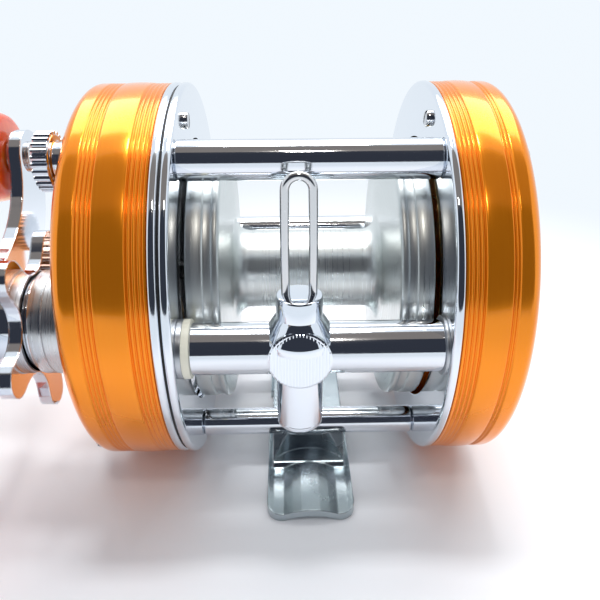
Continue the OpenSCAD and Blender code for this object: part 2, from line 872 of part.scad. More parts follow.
module worm_bushes() {
  color([0.9, 0.88, 0.8])
    at_wind() {
      lathe(mirrored([
        [journal_d / 2 + run_fit, tube_left], [washer_d / 2, tube_left],
        [washer_d / 2, tube_left + 1], [journal_d / 2 + bush_wall, tube_left + 1],
        [journal_d / 2 + bush_wall, ring_back - 0.1], [journal_d / 2 + run_fit, ring_back - 0.1]
      ]));
      lathe([
        [journal_d / 2 + run_fit, tube_right - 1.5], [tube_bore / 2 - seat_fit, tube_right - 1.5],
        [tube_bore / 2 - seat_fit, tube_right], [journal_d / 2 + bush_wall, tube_right],
        [journal_d / 2 + bush_wall, ring_back - 0.1], [journal_d / 2 + run_fit, ring_back - 0.1]
      ]);
    }
}

// The worm: two crossed helical grooves that meet at both ends, cut in a round shaft
worm_turns = 5;
worm_groove = 0.75;
worm_half = guide_travel + 1.2;
worm_steps = 100;
worm_sides = 20;
function groove_dip(x, a) =
  let (
    pitch = 2 * worm_half / worm_turns,
    u = (x / pitch) * 360 - a,
    v = (x / pitch) * 360 + a,
    du = abs(((u % 360) + 540) % 360 - 180) / 360 * pitch,
    dv = abs(((v % 360) + 540) % 360 - 180) / 360 * pitch,
    near = min(du, dv)
  )
  near > 0.9 ? 0 : worm_groove * pow(cos(near * 100), 0.6);
function worm_radius(x, a) = worm_d / 2 - (abs(x) > worm_half - 0.4 ? 0 : groove_dip(x, a));
module worm() {
  step = 2 * worm_half / worm_steps;
  points = [
    for (i = [0 : worm_steps], j = [0 : worm_sides - 1])
      let (x = -worm_half + i * step, a = 360 * j / worm_sides, r = worm_radius(x, a))
      [x, r * cos(a), r * sin(a)]
  ];
  faces = [
    [for (j = [0 : worm_sides - 1]) j],
    [for (j = [worm_sides - 1 : -1 : 0]) worm_steps * worm_sides + j],
    for (i = [0 : worm_steps - 1], j = [0 : worm_sides - 1])
      let (k = (j + 1) % worm_sides, a = i * worm_sides, b = (i + 1) * worm_sides)
      each [[a + j, b + j, b + k], [a + j, b + k, a + k]]
  ];
  color([0.72, 0.74, 0.77])
    at_wind() {
      polyhedron(points, faces, convexity = 4);
      lathe([
        [0, -gear_plate_back - wind_gear_w - 0.9], [journal_d / 2, -gear_plate_back - wind_gear_w - 0.9],
        [journal_d / 2, -worm_half - 0.6], [worm_d / 2 - 0.5, -worm_half - 0.6],
        [worm_d / 2 - 0.5, -worm_half + 0.2], [0, -worm_half + 0.2]
      ]);
      lathe([
        [0, worm_half - 0.2], [worm_d / 2 - 0.5, worm_half - 0.2],
        [worm_d / 2 - 0.5, worm_half + 0.6], [journal_d / 2, worm_half + 0.6],
        [journal_d / 2, ring_back - 0.2], [0, ring_back - 0.2]
      ]);
    }
}

wind_dir = atan2(wind_z - drive_z, wind_y - drive_y);
module worm_gear() {
  color([0.85, 0.85, 0.8])
    at_wind()
      difference() {
        plate(-wind_gear_x - wind_gear_w, wind_gear_w)
          polygon(gear_points(worm_gear_teeth, wind_module, wind_add, wind_dir + 180 + 180 / worm_gear_teeth));
        rod(-wind_gear_x - wind_gear_w - 1, wind_gear_w + 2, journal_d / 2 + seat_fit);
      }
}

// Line guide: a round body across the tube, a neck above it and a leg below it
barrel_front = 3.2;
face_rise_front = 0.5;
shoulder_r = barrel_d / 2 + 0.55;
shoulder_low = 2;
shoulder_h = 2.6;
pawl_cap_h = 0.9;
barrel_back = tube_d / 2 + run_fit + 0.36;
neck_top = 7.9;
leg_end = 12.1;
serrations = 18;
bore_r = tube_d / 2 + run_fit;
function serration_x(i) = (i - (serrations - 1) / 2) * barrel_d / serrations;
module line_guide() {
  color([0.82, 0.84, 0.87])
    at_wind()
      translate([-guide_x, 0, 0])
        difference() {
          union() {
            rotate([90, 0, 0])
              translate([0, 0, -barrel_back])
                cylinder(h = barrel_back + barrel_front, r = barrel_d / 2);
            rotate([90, 0, 0])
              translate([0, 0, barrel_front])
                cylinder(h = face_rise_front, r1 = barrel_d / 2, r2 = barrel_d / 2 - 0.35);
            translate([0, 0, shoulder_low])
              cylinder(h = shoulder_h, r1 = shoulder_r, r2 = neck_d / 2);
            cylinder(h = neck_top - 0.3, r = neck_d / 2);
            translate([0, 0, neck_top - 0.3])
              cylinder(h = 0.3, r1 = neck_d / 2, r2 = neck_d / 2 - 0.3);
            translate([0, 0, -leg_end + pawl_cap_h])
              cylinder(h = leg_end - pawl_cap_h, r = leg_d / 2);
          }
          rod(-barrel_d, 2 * barrel_d, bore_r);
          translate([-barrel_d, barrel_back, -barrel_d])
            cube([2 * barrel_d, barrel_d, 2 * barrel_d]);
          for (i = [0 : serrations - 1])
            translate([serration_x(i), -barrel_front - face_rise_front, 0])
              rotate([0, 0, 45])
                cube([0.24, 0.24, 2 * barrel_d], center = true);
          for (s = [-1, 1])
            translate([s * wire_half, 0, neck_top - 2.6])
              cylinder(h = 4, r = wire_d / 2 + seat_fit);
          translate([0, 0, -leg_end - 1])
            cylinder(h = leg_end + 1, r = pawl_r + run_fit);
          translate([leg_d / 2 - 0.7, -leg_d, -leg_end + 0.5])
            cube([2, 2 * leg_d, 1.6]);
        }
}

wire_half = 1.7;
module guide_wire() {
  bend_r = wire_half;
  color([0.8, 0.82, 0.85])
    at_wind()
      translate([-guide_x, 0, 0]) {
        for (s = [-1, 1])
          translate([s * wire_half, 0, neck_top - 2.5])
            cylinder(h = loop_h + 2.5 - bend_r, r = wire_d / 2);
        translate([0, 0, neck_top + loop_h - bend_r])
          rotate([90, 0, 0])
            rotate_extrude(angle = 180)
              translate([bend_r, 0])
                circle(wire_d / 2);
      }
}

pawl_r = 1.5;
pawl_tip = worm_d / 2 + 0.15;
module guide_pawl() {
  color([0.75, 0.6, 0.3])
    at_wind()
      translate([-guide_x, 0, -leg_end + 2.2]) {
        cylinder(h = leg_end - 2.2 - tube_d / 2 - 0.2, r = pawl_r);
        translate([0, 0, leg_end - 2.2 - tube_d / 2 - 0.2])
          cylinder(h = tube_d / 2 + 0.2 - pawl_tip, r = 1);
      }
}

module pawl_cap() {
  color([0.8, 0.82, 0.85])
    at_wind()
      translate([-guide_x, 0, -leg_end])
        difference() {
          union() {
            translate([0, 0, 0.3])
              cylinder(h = pawl_cap_h - 0.3, r = leg_d / 2);
            cylinder(h = 0.3, r1 = leg_d / 2 - 0.5, r2 = leg_d / 2);
            cylinder(h = 2.1, r = pawl_r);
          }
          translate([leg_d / 2 - 0.7, -leg_d, 0.5])
            cube([2, 2 * leg_d, 2]);
          translate([-0.25, -leg_d, -1])
            cube([0.5, 2 * leg_d, 1.3]);
        }
}

// ---- Spool -----------------------------------------------------------------

function spool_half() = concat(
  ring_arc(arbor_d / 2 + arbor_fillet, flange_x - arbor_fillet, arbor_fillet, arbor_fillet, 180, 90, 6),
  [[spool_r - 0.8, flange_x + 0.7]],
  ring_arc(spool_r - 0.55, flange_x + 1.25, 0.55, 0.55, -80, 0, 3),
  [[spool_r, flange_x + 1.7], [spool_r - 0.22, flange_x + 1.95],
   [spool_r - 0.22, flange_x + 2.9], [spool_r, flange_x + 3.1],
   [spool_r, rim_end - 0.3], [spool_r - 0.3, rim_end], [spool_r - 1, rim_end],
   [spool_r - 1.2, flange_x + web_t + 1.4], [spool_r - 2.4, flange_x + web_t + 0.8],
   [arbor_d / 2 + 1.5, flange_x + web_t], [shaft_r + 2, flange_x + web_t + 1.2],
   [shaft_r + seat_fit, flange_x + web_t + 1.2]]
);
function reversed(points) = [for (i = [len(points) - 1 : -1 : 0]) points[i]];
module spool() {
  color([0.78, 0.8, 0.8])
    on_axis()
      lathe(concat(spool_half(), reversed(mirrored(spool_half()))));
}

module spool_shaft() {
  color([0.65, 0.67, 0.7])
    on_axis()
      rod(-cap_end + 1.85, cap_end - 1.85 + palm_face - 0.9, shaft_r);
}

brake_hub_r = 6;
brake_hub_w = 3.2;
brake_hub_x = flange_x + web_t + 1.3;
brake_pin_r = 0.45;
brake_block_r = 1.1;
brake_block_h = 3;
brake_count = 6;
module brake_hub() {
  color([0.1, 0.1, 0.12])
    on_axis()
      difference() {
        union() {
          rod(brake_hub_x, brake_hub_w, brake_hub_r);
          for (i = [0 : brake_count - 1])
            rotate([i * 360 / brake_count, 0, 0])
              translate([brake_hub_x + brake_hub_w / 2, brake_hub_r - 1, 0])
                rotate([-90, 0, 0])
                  cylinder(h = brake_r - brake_hub_r - 1.2, r = brake_pin_r);
        }
        rod(brake_hub_x - 1, brake_hub_w + 2, shaft_r + seat_fit);
      }
}

module brake_blocks() {
  color([0.85, 0.2, 0.15])
    on_axis()
      for (i = [0 : brake_count - 1])
        rotate([i * 360 / brake_count, 0, 0])
          translate([brake_hub_x + brake_hub_w / 2, brake_hub_r + 1.2, 0])
            rotate([-90, 0, 0])
              difference() {
                cylinder(h = brake_block_h, r = brake_block_r);
                translate([0, 0, -1])
                  cylinder(h = brake_block_h + 2, r = brake_pin_r + seat_fit);
              }
}

pinion_dir = atan2(drive_z, drive_y);
module pinion() {
  color([0.8, 0.65, 0.35])
    on_axis()
      difference() {
        union() {
          plate(-pinion_x - pinion_w, pinion_w)
            polygon(gear_points(pinion_teeth, gear_module, 0.75, pinion_dir + 180 / pinion_teeth));
          rod(-pinion_end, pinion_end - pinion_x - pinion_w, pinion_hub_r - 0.7);
          rod(-pinion_groove_x, 0.4, pinion_hub_r);
          rod(-pinion_end, 0.7, pinion_hub_r);
          rod(-pinion_x, pinion_x - gear_plate_back - 0.1, pinion_pitch_r - 1.2 * gear_module);
        }
        rod(-pinion_end - 1, pinion_end + 1, shaft_r + seat_fit);
      }
}

// ---- Drive -----------------------------------------------------------------

drive_in = gear_plate_x + 0.1;
flat_w = drive_d - 0.9;
module drive_shaft() {
  color([0.7, 0.72, 0.75])
    at_drive()
      difference() {
        union() {
          rod(-arm_end - 2.2, arm_end + 2.2 - drive_in, drive_d / 2);
          rod(-main_gear_x, 0.6, drive_d / 2 + 2);
        }
        for (s = [-1, 1])
          translate([-arm_end - 3, s > 0 ? flat_w / 2 : -flat_w / 2 - drive_d, -drive_d])
            cube([arm_end + 3 - arm_x + 0.1, drive_d, 2 * drive_d]);
      }
}

drag_r = main_pitch_r - 2.6;
module main_gear() {
  color([0.8, 0.65, 0.35])
    at_drive()
      difference() {
        plate(-main_gear_x - main_gear_w, main_gear_w)
          polygon(gear_points(main_teeth, gear_module, main_add - 0.1, pinion_dir + 180));
        rod(-main_gear_x - main_gear_w - 1, main_gear_w + 2, drive_d / 2 + seat_fit);
        rod(-main_gear_x - main_gear_w - 1, 1 + main_gear_w - 1, drag_r + 0.2);
      }
}

drag_x = main_gear_x + 1;
module drag_washers() {
  color([0.2, 0.2, 0.22])
    at_drive()
      for (i = [0 : washer_stack - 1])
        difference() {
          rod(-drag_x - (i + 1) * washer_t, washer_t - 0.02, i % 2 == 0 ? drag_r : drag_r - 0.6);
          rod(-drag_x - 10, 20, drive_d / 2 + seat_fit);
        }
}

module wind_gear() {
  color([0.85, 0.85, 0.8])
    at_drive()
      difference() {
        plate(-wind_gear_x - wind_gear_w, wind_gear_w)
          polygon(gear_points(wind_teeth, wind_module, wind_add, wind_dir));
        rod(-wind_gear_x - wind_gear_w - 1, wind_gear_w + 2, drive_d / 2 + seat_fit);
      }
}

sleeve_in = drag_x + washer_stack * washer_t + 0.05;
module clutch_sleeve() {
  color([0.68, 0.7, 0.73])
    at_drive()
      difference() {
        union() {
          rod(-sleeve_end + lip_in - 0.2, sleeve_end - lip_in + 0.2 - sleeve_in, clutch_sleeve_r);
          rod(-sleeve_in - 0.9, 0.9, drag_r - 1);
        }
        rod(-arm_x - 10, arm_x + 10, drive_d / 2 + seat_fit);
      }
}

// Star wheel: a turned hub, and flat fingers with round tips and wide scallops between them
finger_r = 2.6;
star_floor_r = hub_r + 0.65;
star_phase = 129;
star_half = 180 / star_fingers;
scallop_at = (star_floor_r - finger_r) / (1 - sin(star_half));
scallop_r = scallop_at * sin(star_half) - finger_r;
star_steps = 8;
function star_outline() = [
  for (i = [0 : star_fingers - 1])
    let (a = star_phase + 360 * i / star_fingers)
    each concat(
      [for (t = [0 : star_steps])
        polar(a, star_r - finger_r) + polar(a - 90 + 180 * t / star_steps, finger_r)],
      [for (t = [0 : star_steps])
        polar(a + star_half, scallop_at) + polar(a + 270 - (180 - 2 * star_half) * t / star_steps, scallop_r)]
    )
];
module star_wheel() {
  color([0.8, 0.82, 0.85])
    at_drive()
      difference() {
        union() {
          plate(-star_x - star_t, star_t)
            polygon(star_outline());
          lathe(mirrored([
            [0, sleeve_end - hub_in], [hub_r, sleeve_end - hub_in], [hub_r, star_hub_end - 0.5],
            [hub_r - 0.5, star_hub_end], [0, star_hub_end]
          ]));
        }
        rod(-arm_x - 1, arm_x, drive_d / 2 + run_fit);
      }
}

module star_spring() {
  color([0.75, 0.6, 0.3])
    at_drive()
      lathe(mirrored(shifted([
        [drive_d / 2 + run_fit, 0], [hub_r - 2.4, 0.1], [hub_r - 2.4, 0.25],
        [drive_d / 2 + run_fit, 0.15]
      ], sleeve_end - hub_in - 0.27)));
}

// ---- Handle ----------------------------------------------------------------

crank_angle = 141;
arm_tip_r = 4.4;
arm_root_r = 6.6;
arm_steps = 12;
function rear_knob_at() = polar(crank_angle, crank_r);

// The arm's middle line bends upwards on a cubic curve from the drive shaft to the knob
arm_line = [[0, 0], polar(173, crank_r * 0.43), polar(160, crank_r * 0.79), rear_knob_at()];
function arm_point(t) =
  pow(1 - t, 3) * arm_line[0] + 3 * t * pow(1 - t, 2) * arm_line[1]
  + 3 * t * t * (1 - t) * arm_line[2] + pow(t, 3) * arm_line[3];
function arm_side(t, s) =
  let (
    along = arm_point(t + 0.001) - arm_point(t - 0.001),
    square_to = [-along[1], along[0]] / norm(along),
    half_w = arm_root_r + (arm_tip_r - arm_root_r) * sqrt(t)
  )
  arm_point(t) + s * half_w * square_to;
module handle_arm() {
  color([0.84, 0.86, 0.89])
    at_drive()
      difference() {
        union() {
          rod(-arm_end, arm_t, arm_hub_r);
          for (s = [-1, 1]) {
            translate([0, s * rear_knob_at()[0], s * rear_knob_at()[1]])
              rod(-arm_end, arm_t, arm_tip_r);
            plate(-arm_end, arm_t)
              polygon(concat(
                [for (i = [0 : arm_steps]) s * arm_side(i / arm_steps, 1)],
                [for (i = [arm_steps : -1 : 0]) s * arm_side(i / arm_steps, -1)]
              ));
          }
        }
        intersection() {
          rod(-arm_end - 1, arm_t + 2, drive_d / 2 + seat_fit);
          translate([-arm_end - 2, -flat_w / 2 - seat_fit, -drive_d])
            cube([arm_t + 4, flat_w + 2 * seat_fit, 2 * drive_d]);
        }
        for (s = [-1, 1])
          translate([0, s * rear_knob_at()[0], s * rear_knob_at()[1]])
            rod(-arm_end - 1, arm_t + 2, spindle_r + seat_fit);
      }
}

nut_r = 4.9;
nut_t = 2;
keeper_t = 3.3;
keeper_room = 0.35;
keeper_ear_r = 2.2;
keeper_root_r = 3.2;
module handle_nut() {
  color([0.8, 0.82, 0.85])
    at_drive()
      difference() {
        union() {
          plate(-arm_end - nut_t, nut_t)
            circle(nut_r, $fn = 6);
          rod(-arm_end - 0.4, 0.4, nut_r + 0.3);
        }
        rod(-arm_end - 3, 4, drive_d / 2 + seat_fit);
      }
}

module nut_keeper() {
  color([0.84, 0.86, 0.89])
    at_drive()
      difference() {
        union() {
          rod(-arm_end - keeper_t, keeper_t, nut_r + keeper_room + 1.05);
          tapered_bar(-arm_end - keeper_t, keeper_t, [0, 0], keeper_root_r, keeper_screw_at(), keeper_ear_r);
        }
        rod(-arm_end - nut_t - 0.4, nut_t + 2, nut_r + keeper_room);
        translate([0, keeper_screw_at()[0], keeper_screw_at()[1]])
          rod(-arm_end - keeper_t - 1, keeper_t + 2, keeper_screw_r + seat_fit);
      }
}

keeper_screw_r = 0.9;
function keeper_screw_at() = polar(crank_angle + 18, nut_r + 4);
spindle_r = 1.6;
knob_x = arm_end + 1.2;
knob_dip = 2.6;
spindle_end = knob_x + knob_w - knob_dip + body_gap;
module knob_spindles() {
  color([0.55, 0.57, 0.6])
    for (s = [-1, 1])
      at_drive()
        translate([0, s * rear_knob_at()[0], s * rear_knob_at()[1]]) {
          rod(-spindle_end, spindle_end - arm_x, spindle_r);
          rod(-arm_x, 0.5, spindle_r + 0.9);
          rod(-arm_end - 0.9, 0.9, spindle_r + 1.3);
        }
}

function knob_outline() = let (r = knob_d / 2) concat(
  [[r * 0.8, 0], [r * 0.9, 0.35]],
  ring_arc(r * 0.9, 4.2, r * 0.1, 3.6, -70, 0, 3),
  ring_arc(r * 0.78, knob_w - 6.5, r * 0.22, 6.5, 0, 78, 6)
);
module knob(s) {
  color([0.93, 0.3, 0.05])
    at_drive()
      translate([0, s * rear_knob_at()[0], s * rear_knob_at()[1]])
        lathe(mirrored(shifted(concat(
          [[spindle_r + run_fit, 0]],
          knob_outline(),
          [[spindle_r + 1.4, knob_w], [spindle_r + 1.4, knob_w - knob_dip],
           [spindle_r + run_fit, knob_w - knob_dip]]
        ), knob_x)));
}

module rear_knob() {
  knob(1);
}

module front_knob() {
  knob(-1);
}

module knob_screws() {
  color([0.8, 0.82, 0.85]) {
    for (s = [-1, 1])
      at_drive()
        translate([-spindle_end, s * rear_knob_at()[0], s * rear_knob_at()[1]])
          rotate([0, -90, 0])
            slotted_head(spindle_r + 1.1, 1.2);
    at_drive()
      translate([-arm_end - keeper_t, keeper_screw_at()[0], keeper_screw_at()[1]])
        rotate([0, -90, 0])
          slotted_head(keeper_screw_r + 0.7, 0.9);
    at_drive()
      translate([0, keeper_screw_at()[0], keeper_screw_at()[1]])
        rod(-arm_end - keeper_t, keeper_t - 0.05, keeper_screw_r);
  }
}

handle_ring();
palm_ring();
gasket();
gear_plate();
handle_cover();
palm_cover();
top_bar();
rear_bar();
lower_bars();
foot();
foot_rivets();
plate_screws();
cover_screws();
thumb_screws();
boss_sleeve();
one_way_bearing();
drive_bush();
spool_bearings();
brake_ring();
clutch_yoke();
yoke_springs();
thumb_button();
tension_cap();
tension_shims();
wind_tube();
wind_washers();
worm_bushes();
worm();
worm_gear();
line_guide();
guide_wire();
guide_pawl();
pawl_cap();
spool();
spool_shaft();
brake_hub();
brake_blocks();
pinion();
drive_shaft();
main_gear();
drag_washers();
wind_gear();
clutch_sleeve();
star_wheel();
star_spring();
handle_arm();
handle_nut();
nut_keeper();
knob_spindles();
rear_knob();
front_knob();
knob_screws();
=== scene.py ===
import bpy, bmesh
import math
from mathutils import Matrix, Vector


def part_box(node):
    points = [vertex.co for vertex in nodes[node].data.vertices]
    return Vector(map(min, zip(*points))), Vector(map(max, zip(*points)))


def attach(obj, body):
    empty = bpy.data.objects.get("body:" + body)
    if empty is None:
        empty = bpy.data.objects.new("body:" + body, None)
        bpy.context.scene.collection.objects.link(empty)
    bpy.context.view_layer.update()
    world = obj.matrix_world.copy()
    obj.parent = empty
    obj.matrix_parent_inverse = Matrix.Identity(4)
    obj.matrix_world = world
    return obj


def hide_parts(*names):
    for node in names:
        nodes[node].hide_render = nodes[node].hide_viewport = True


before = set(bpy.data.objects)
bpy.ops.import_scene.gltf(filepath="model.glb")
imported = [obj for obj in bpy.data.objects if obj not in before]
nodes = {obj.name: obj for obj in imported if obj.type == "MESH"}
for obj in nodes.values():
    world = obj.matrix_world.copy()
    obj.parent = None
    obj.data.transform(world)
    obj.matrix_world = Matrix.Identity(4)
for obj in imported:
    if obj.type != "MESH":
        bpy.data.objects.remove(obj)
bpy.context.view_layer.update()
MM = 0.001

# ------------------------------------------------------------------ camera
# Where the reel is seen from: a little above it, in front of the spool.
foot_to_axis = 0.031
eye = Vector((-3.01, -95.52, 41.5)) * MM + Vector((0, 0, foot_to_axis))
lens_width = 36.0
camera_data = bpy.data.cameras.new("reel_camera")
camera_data.sensor_width = lens_width
camera_data.lens = 36.56
camera_data.clip_start = 0.005
camera_data.clip_end = 20
camera = bpy.data.objects.new("reel_camera", camera_data)
camera.location = eye
camera.rotation_euler = (math.radians(63.503), math.radians(0.226), math.radians(-1.294))
bpy.context.scene.collection.objects.link(camera)
bpy.context.scene.camera = camera
bpy.context.scene.view_settings.view_transform = "Standard"


# ------------------------------------------------------------------ studio
# A white table that runs up into a white backdrop, one large soft lamp above and behind the reel,
# and the dark room in front of the table, which only polished metal shows.
def new_material(name):
    """A material with an empty node tree; returns both."""
    material = bpy.data.materials.new(name)
    material.use_nodes = True
    material.node_tree.nodes.clear()
    return material, material.node_tree


def add(tree, kind, links=(), **settings):
    """A node with its properties, the numbers of its sockets and its incoming links."""
    node = tree.nodes.new(kind)
    for label, value in settings.items():
        setattr(node, label, value)
    for socket, source in links:
        if isinstance(source, bpy.types.NodeSocket):
            tree.links.new(source, node.inputs[socket])
        else:
            node.inputs[socket].default_value = source
    return node


def maths(tree, operation, a, b=None):
    """One step of arithmetic on values or fields."""
    links = [(i, v) for i, v in enumerate((a, b)) if v is not None]
    return add(tree, "ShaderNodeMath", links, operation=operation).outputs[0]


def shown_directly(tree):
    """Is 1 for what the camera sees, also in polished metal or through something clear."""
    path = add(tree, "ShaderNodeLightPath")
    seen = maths(tree, "MAXIMUM", path.outputs["Is Camera Ray"], path.outputs["Is Glossy Ray"])
    return maths(tree, "MAXIMUM", seen, path.outputs["Is Transmission Ray"])


def grid_piece(name, rows, closed_rows=False, closed_columns=False):
    """A mesh from rows of points; each row has the same number of points."""
    width = len(rows[0])
    verts = [p for row in rows for p in row]
    faces = []
    for i in range(len(rows) if closed_rows else len(rows) - 1):
        for j in range(width if closed_columns else width - 1):
            a = i * width + j
            b = i * width + (j + 1) % width
            c = ((i + 1) % len(rows)) * width + (j + 1) % width
            d = ((i + 1) % len(rows)) * width + j
            faces.append((a, b, c, d))
    mesh = bpy.data.meshes.new(name)
    mesh.from_pydata(verts, [], faces)
    piece = bpy.data.objects.new(name, mesh)
    bpy.context.scene.collection.objects.link(piece)
    return piece


background = (0.885, 0.945, 1.0)
room_fill = (0.93, 0.96, 1.0)
room_fill_strength = 0.62
world = bpy.data.worlds.new("white_room")
bpy.context.scene.world = world
world.use_nodes = True
room = world.node_tree
room.nodes.clear()
seen = add(room, "ShaderNodeBackground", [("Color", (*background, 1)), ("Strength", 1.0)])
fill = add(room, "ShaderNodeBackground", [("Color", (*room_fill, 1)), ("Strength", room_fill_strength)])
both = add(room, "ShaderNodeMixShader", [
    (0, shown_directly(room)), (1, fill.outputs[0]), (2, seen.outputs[0])])
add(room, "ShaderNodeOutputWorld", [("Surface", both.outputs[0])])

# Away from the reel the table runs out into the white of the backdrop.
fade_start, fade_end = 0.05, 0.17
table_paint, paint = new_material("white_table")
table_face = add(paint, "ShaderNodeBsdfPrincipled", [
    ("Base Color", (0.90, 0.925, 0.97, 1)), ("Roughness", 0.45), ("Specular IOR Level", 0.25)])
table_spot = add(paint, "ShaderNodeTexCoord").outputs["Object"]
reach = add(paint, "ShaderNodeVectorMath", [(0, table_spot)], operation="LENGTH").outputs["Value"]
far = add(paint, "ShaderNodeMapRange", [
    ("Value", reach), ("From Min", fade_start), ("From Max", fade_end)], interpolation_type="SMOOTHSTEP")
share = maths(paint, "MULTIPLY", far.outputs["Result"], shown_directly(paint))
glow = add(paint, "ShaderNodeEmission", [("Color", (*background, 1))])
both = add(paint, "ShaderNodeMixShader", [(0, share), (1, table_face.outputs[0]), (2, glow.outputs[0])])
add(paint, "ShaderNodeOutputMaterial", [("Surface", both.outputs[0])])
table_r = 25
table_z = -0.03 * MM
table = grid_piece("table", [
    [(-table_r, -table_r, table_z), (table_r, -table_r, table_z)],
    [(-table_r, table_r, table_z), (table_r, table_r, table_z)],
])
table.data.materials.append(table_paint)


def soft_lamp(name, at, look, size, watts, tint=(1, 1, 1)):
    data = bpy.data.lights.new(name, "AREA")
    data.shape = "RECTANGLE"
    data.size, data.size_y = size
    data.energy = watts
    data.color = tint
    lamp = bpy.data.objects.new(name, data)
    lamp.location = at
    lamp.rotation_mode = "QUATERNION"
    lamp.rotation_quaternion = (Vector(look) - Vector(at)).to_track_quat("-Z", "Y")
    bpy.context.scene.collection.objects.link(lamp)
    return lamp


soft_lamp("back_lamp", (0.05, 0.42, 0.72), (0, 0, 0.03), (1.0, 0.5), 5.0, (1.0, 0.98, 0.95))
soft_lamp("top_lamp", (0.0, 0.1, 0.85), (0, 0, 0.03), (0.22, 0.1), 2.2)
soft_lamp("room_lamp", (0.02, -0.36, 0.62), (0, 0, 0.03), (0.05, 0.05), 0.35, (1.0, 0.93, 0.85))


def room_card(name, rows, colour):
    card = grid_piece(name, rows)
    paint, tree = new_material(name)
    face = add(tree, "ShaderNodeEmission", [("Color", (*colour, 1))])
    add(tree, "ShaderNodeOutputMaterial", [("Surface", face.outputs[0])])
    card.data.materials.append(paint)
    card.visible_camera = False
    card.visible_diffuse = False
    card.visible_shadow = False
    card.visible_transmission = False
    return card


room_card("dark_room", [
    [(-0.75, -0.5, 0.02), (0.75, -0.5, 0.02)], [(-0.75, -0.5, 0.8), (0.75, -0.5, 0.8)]
], (0.035, 0.04, 0.055))
room_card("dim_ceiling", [
    [(-0.75, -0.5, 0.8), (0.75, -0.5, 0.8)], [(-0.75, 0.02, 0.86), (0.75, 0.02, 0.86)]
], (0.24, 0.215, 0.20))


# ------------------------------------------------------------------ side rings and gear plate
# Two turned side rings carry the pillars, and a third plate behind the gasket carries the gears.
# Turned brass, mirror polished and chrome plated, with beaded edges.
def settle(piece):
    """Turns a piece's modifiers into plain mesh."""
    bpy.context.view_layer.update()
    seen_by = bpy.context.evaluated_depsgraph_get()
    mesh = bpy.data.meshes.new_from_object(piece.evaluated_get(seen_by))
    old = piece.data
    piece.modifiers.clear()
    piece.data = mesh
    bpy.data.meshes.remove(old)
    return piece


def finish_mesh(piece, sharp=40):
    """Merges doubles, turns the faces outwards and shades the piece smooth up to an angle."""
    work = bmesh.new()
    work.from_mesh(piece.data)
    bmesh.ops.remove_doubles(work, verts=work.verts, dist=2e-7)
    bmesh.ops.recalc_face_normals(work, faces=work.faces)
    work.to_mesh(piece.data)
    work.free()
    piece.data.shade_smooth()
    piece.data.set_sharp_from_angle(angle=math.radians(sharp))
    return piece


def soften(outline, radius, steps=3):
    """Rounds the corners of a closed outline, with a support point on both sides of each."""
    made = []
    for i, here in enumerate(outline):
        here = Vector(here)
        back, on = Vector(outline[i - 1]) - here, Vector(outline[(i + 1) % len(outline)]) - here
        if back.length < 1e-6 or on.length < 1e-6 or back.angle(-on, 0) < math.radians(12) or here.x < 1e-6:
            made.append(tuple(here))
            continue
        cut_off = min(radius, back.length * 0.3, on.length * 0.3)
        start, end = here + back.normalized() * cut_off, here + on.normalized() * cut_off
        made.append(tuple(here + back.normalized() * cut_off * 1.4))
        for k in range(steps + 1):
            t = k / steps
            made.append(tuple(start * (1 - t) ** 2 + here * 2 * t * (1 - t) + end * t ** 2))
        made.append(tuple(here + on.normalized() * cut_off * 1.4))
    return made


def turned(name, outline, at=(0, 0, 0), along="X", segments=192, soft=0.0, sharp=40):
    """A turned piece. The outline is closed and holds [radius, distance along the axis] in millimetres."""
    if soft:
        outline = soften(outline, soft)
    rows = []
    for k in range(segments):
        a = 2 * math.pi * k / segments
        c, s = math.cos(a), math.sin(a)
        turn = {"X": lambda r, h: (h, r * c, r * s), "Y": lambda r, h: (r * s, h, r * c),
                "Z": lambda r, h: (r * c, r * s, h)}[along]
        rows.append([tuple((Vector(turn(r, h)) + Vector(at)) * MM) for r, h in outline])
    return finish_mesh(grid_piece(name, rows, True, True), sharp)


def arc(middle, radii, start, stop, step):
    """Points of an arc between two angles, for an outline."""
    turns = [math.radians(a) for a in range(start, stop + 1, step)]
    return [(middle[0] + radii[0] * math.cos(a), middle[1] + radii[1] * math.sin(a)) for a in turns]


def tube(name, r_in, r_out, h0, h1, at, along="X", segments=64, soft=0.0):
    """A straight tube, or a rod where r_in is 0, between two distances along the axis."""
    outline = [(r_in, h0), (r_out, h0), (r_out, h1), (r_in, h1)]
    return turned(name, outline, at, along, segments, soft)


def cut(piece, *cutters, sharp=40, operation="DIFFERENCE"):
    """Takes the cutters' shapes out of a piece, or joins them to it."""
    for cutter in cutters:
        step = piece.modifiers.new("step", "BOOLEAN")
        step.operation = operation
        step.solver = "EXACT"
        step.object = cutter
    settle(piece)
    for cutter in cutters:
        bpy.data.objects.remove(cutter)
    return finish_mesh(piece, sharp)


def drill(r, x0, x1, at_yz):
    """A round cutter along X, in millimetres."""
    return tube("drill", 0, r, x0, x1, (0, *at_yz))


def box_cutter(x, y, z):
    """A square cutter between pairs of coordinates, in millimetres."""
    rows = [[(i, y[0], z[0]), (i, y[1], z[0]), (i, y[1], z[1]), (i, y[0], z[1])] for i in x]
    verts = [tuple(Vector(p) * MM) for row in rows for p in row]
    mesh = bpy.data.meshes.new("box_cutter")
    sides = [(0, 4, 5, 1), (1, 5, 6, 2), (2, 6, 7, 3), (3, 7, 4, 0)]
    mesh.from_pydata(verts, [], [(0, 1, 2, 3), (7, 6, 5, 4)] + sides)
    cutter = bpy.data.objects.new("box_cutter", mesh)
    bpy.context.scene.collection.objects.link(cutter)
    return finish_mesh(cutter)


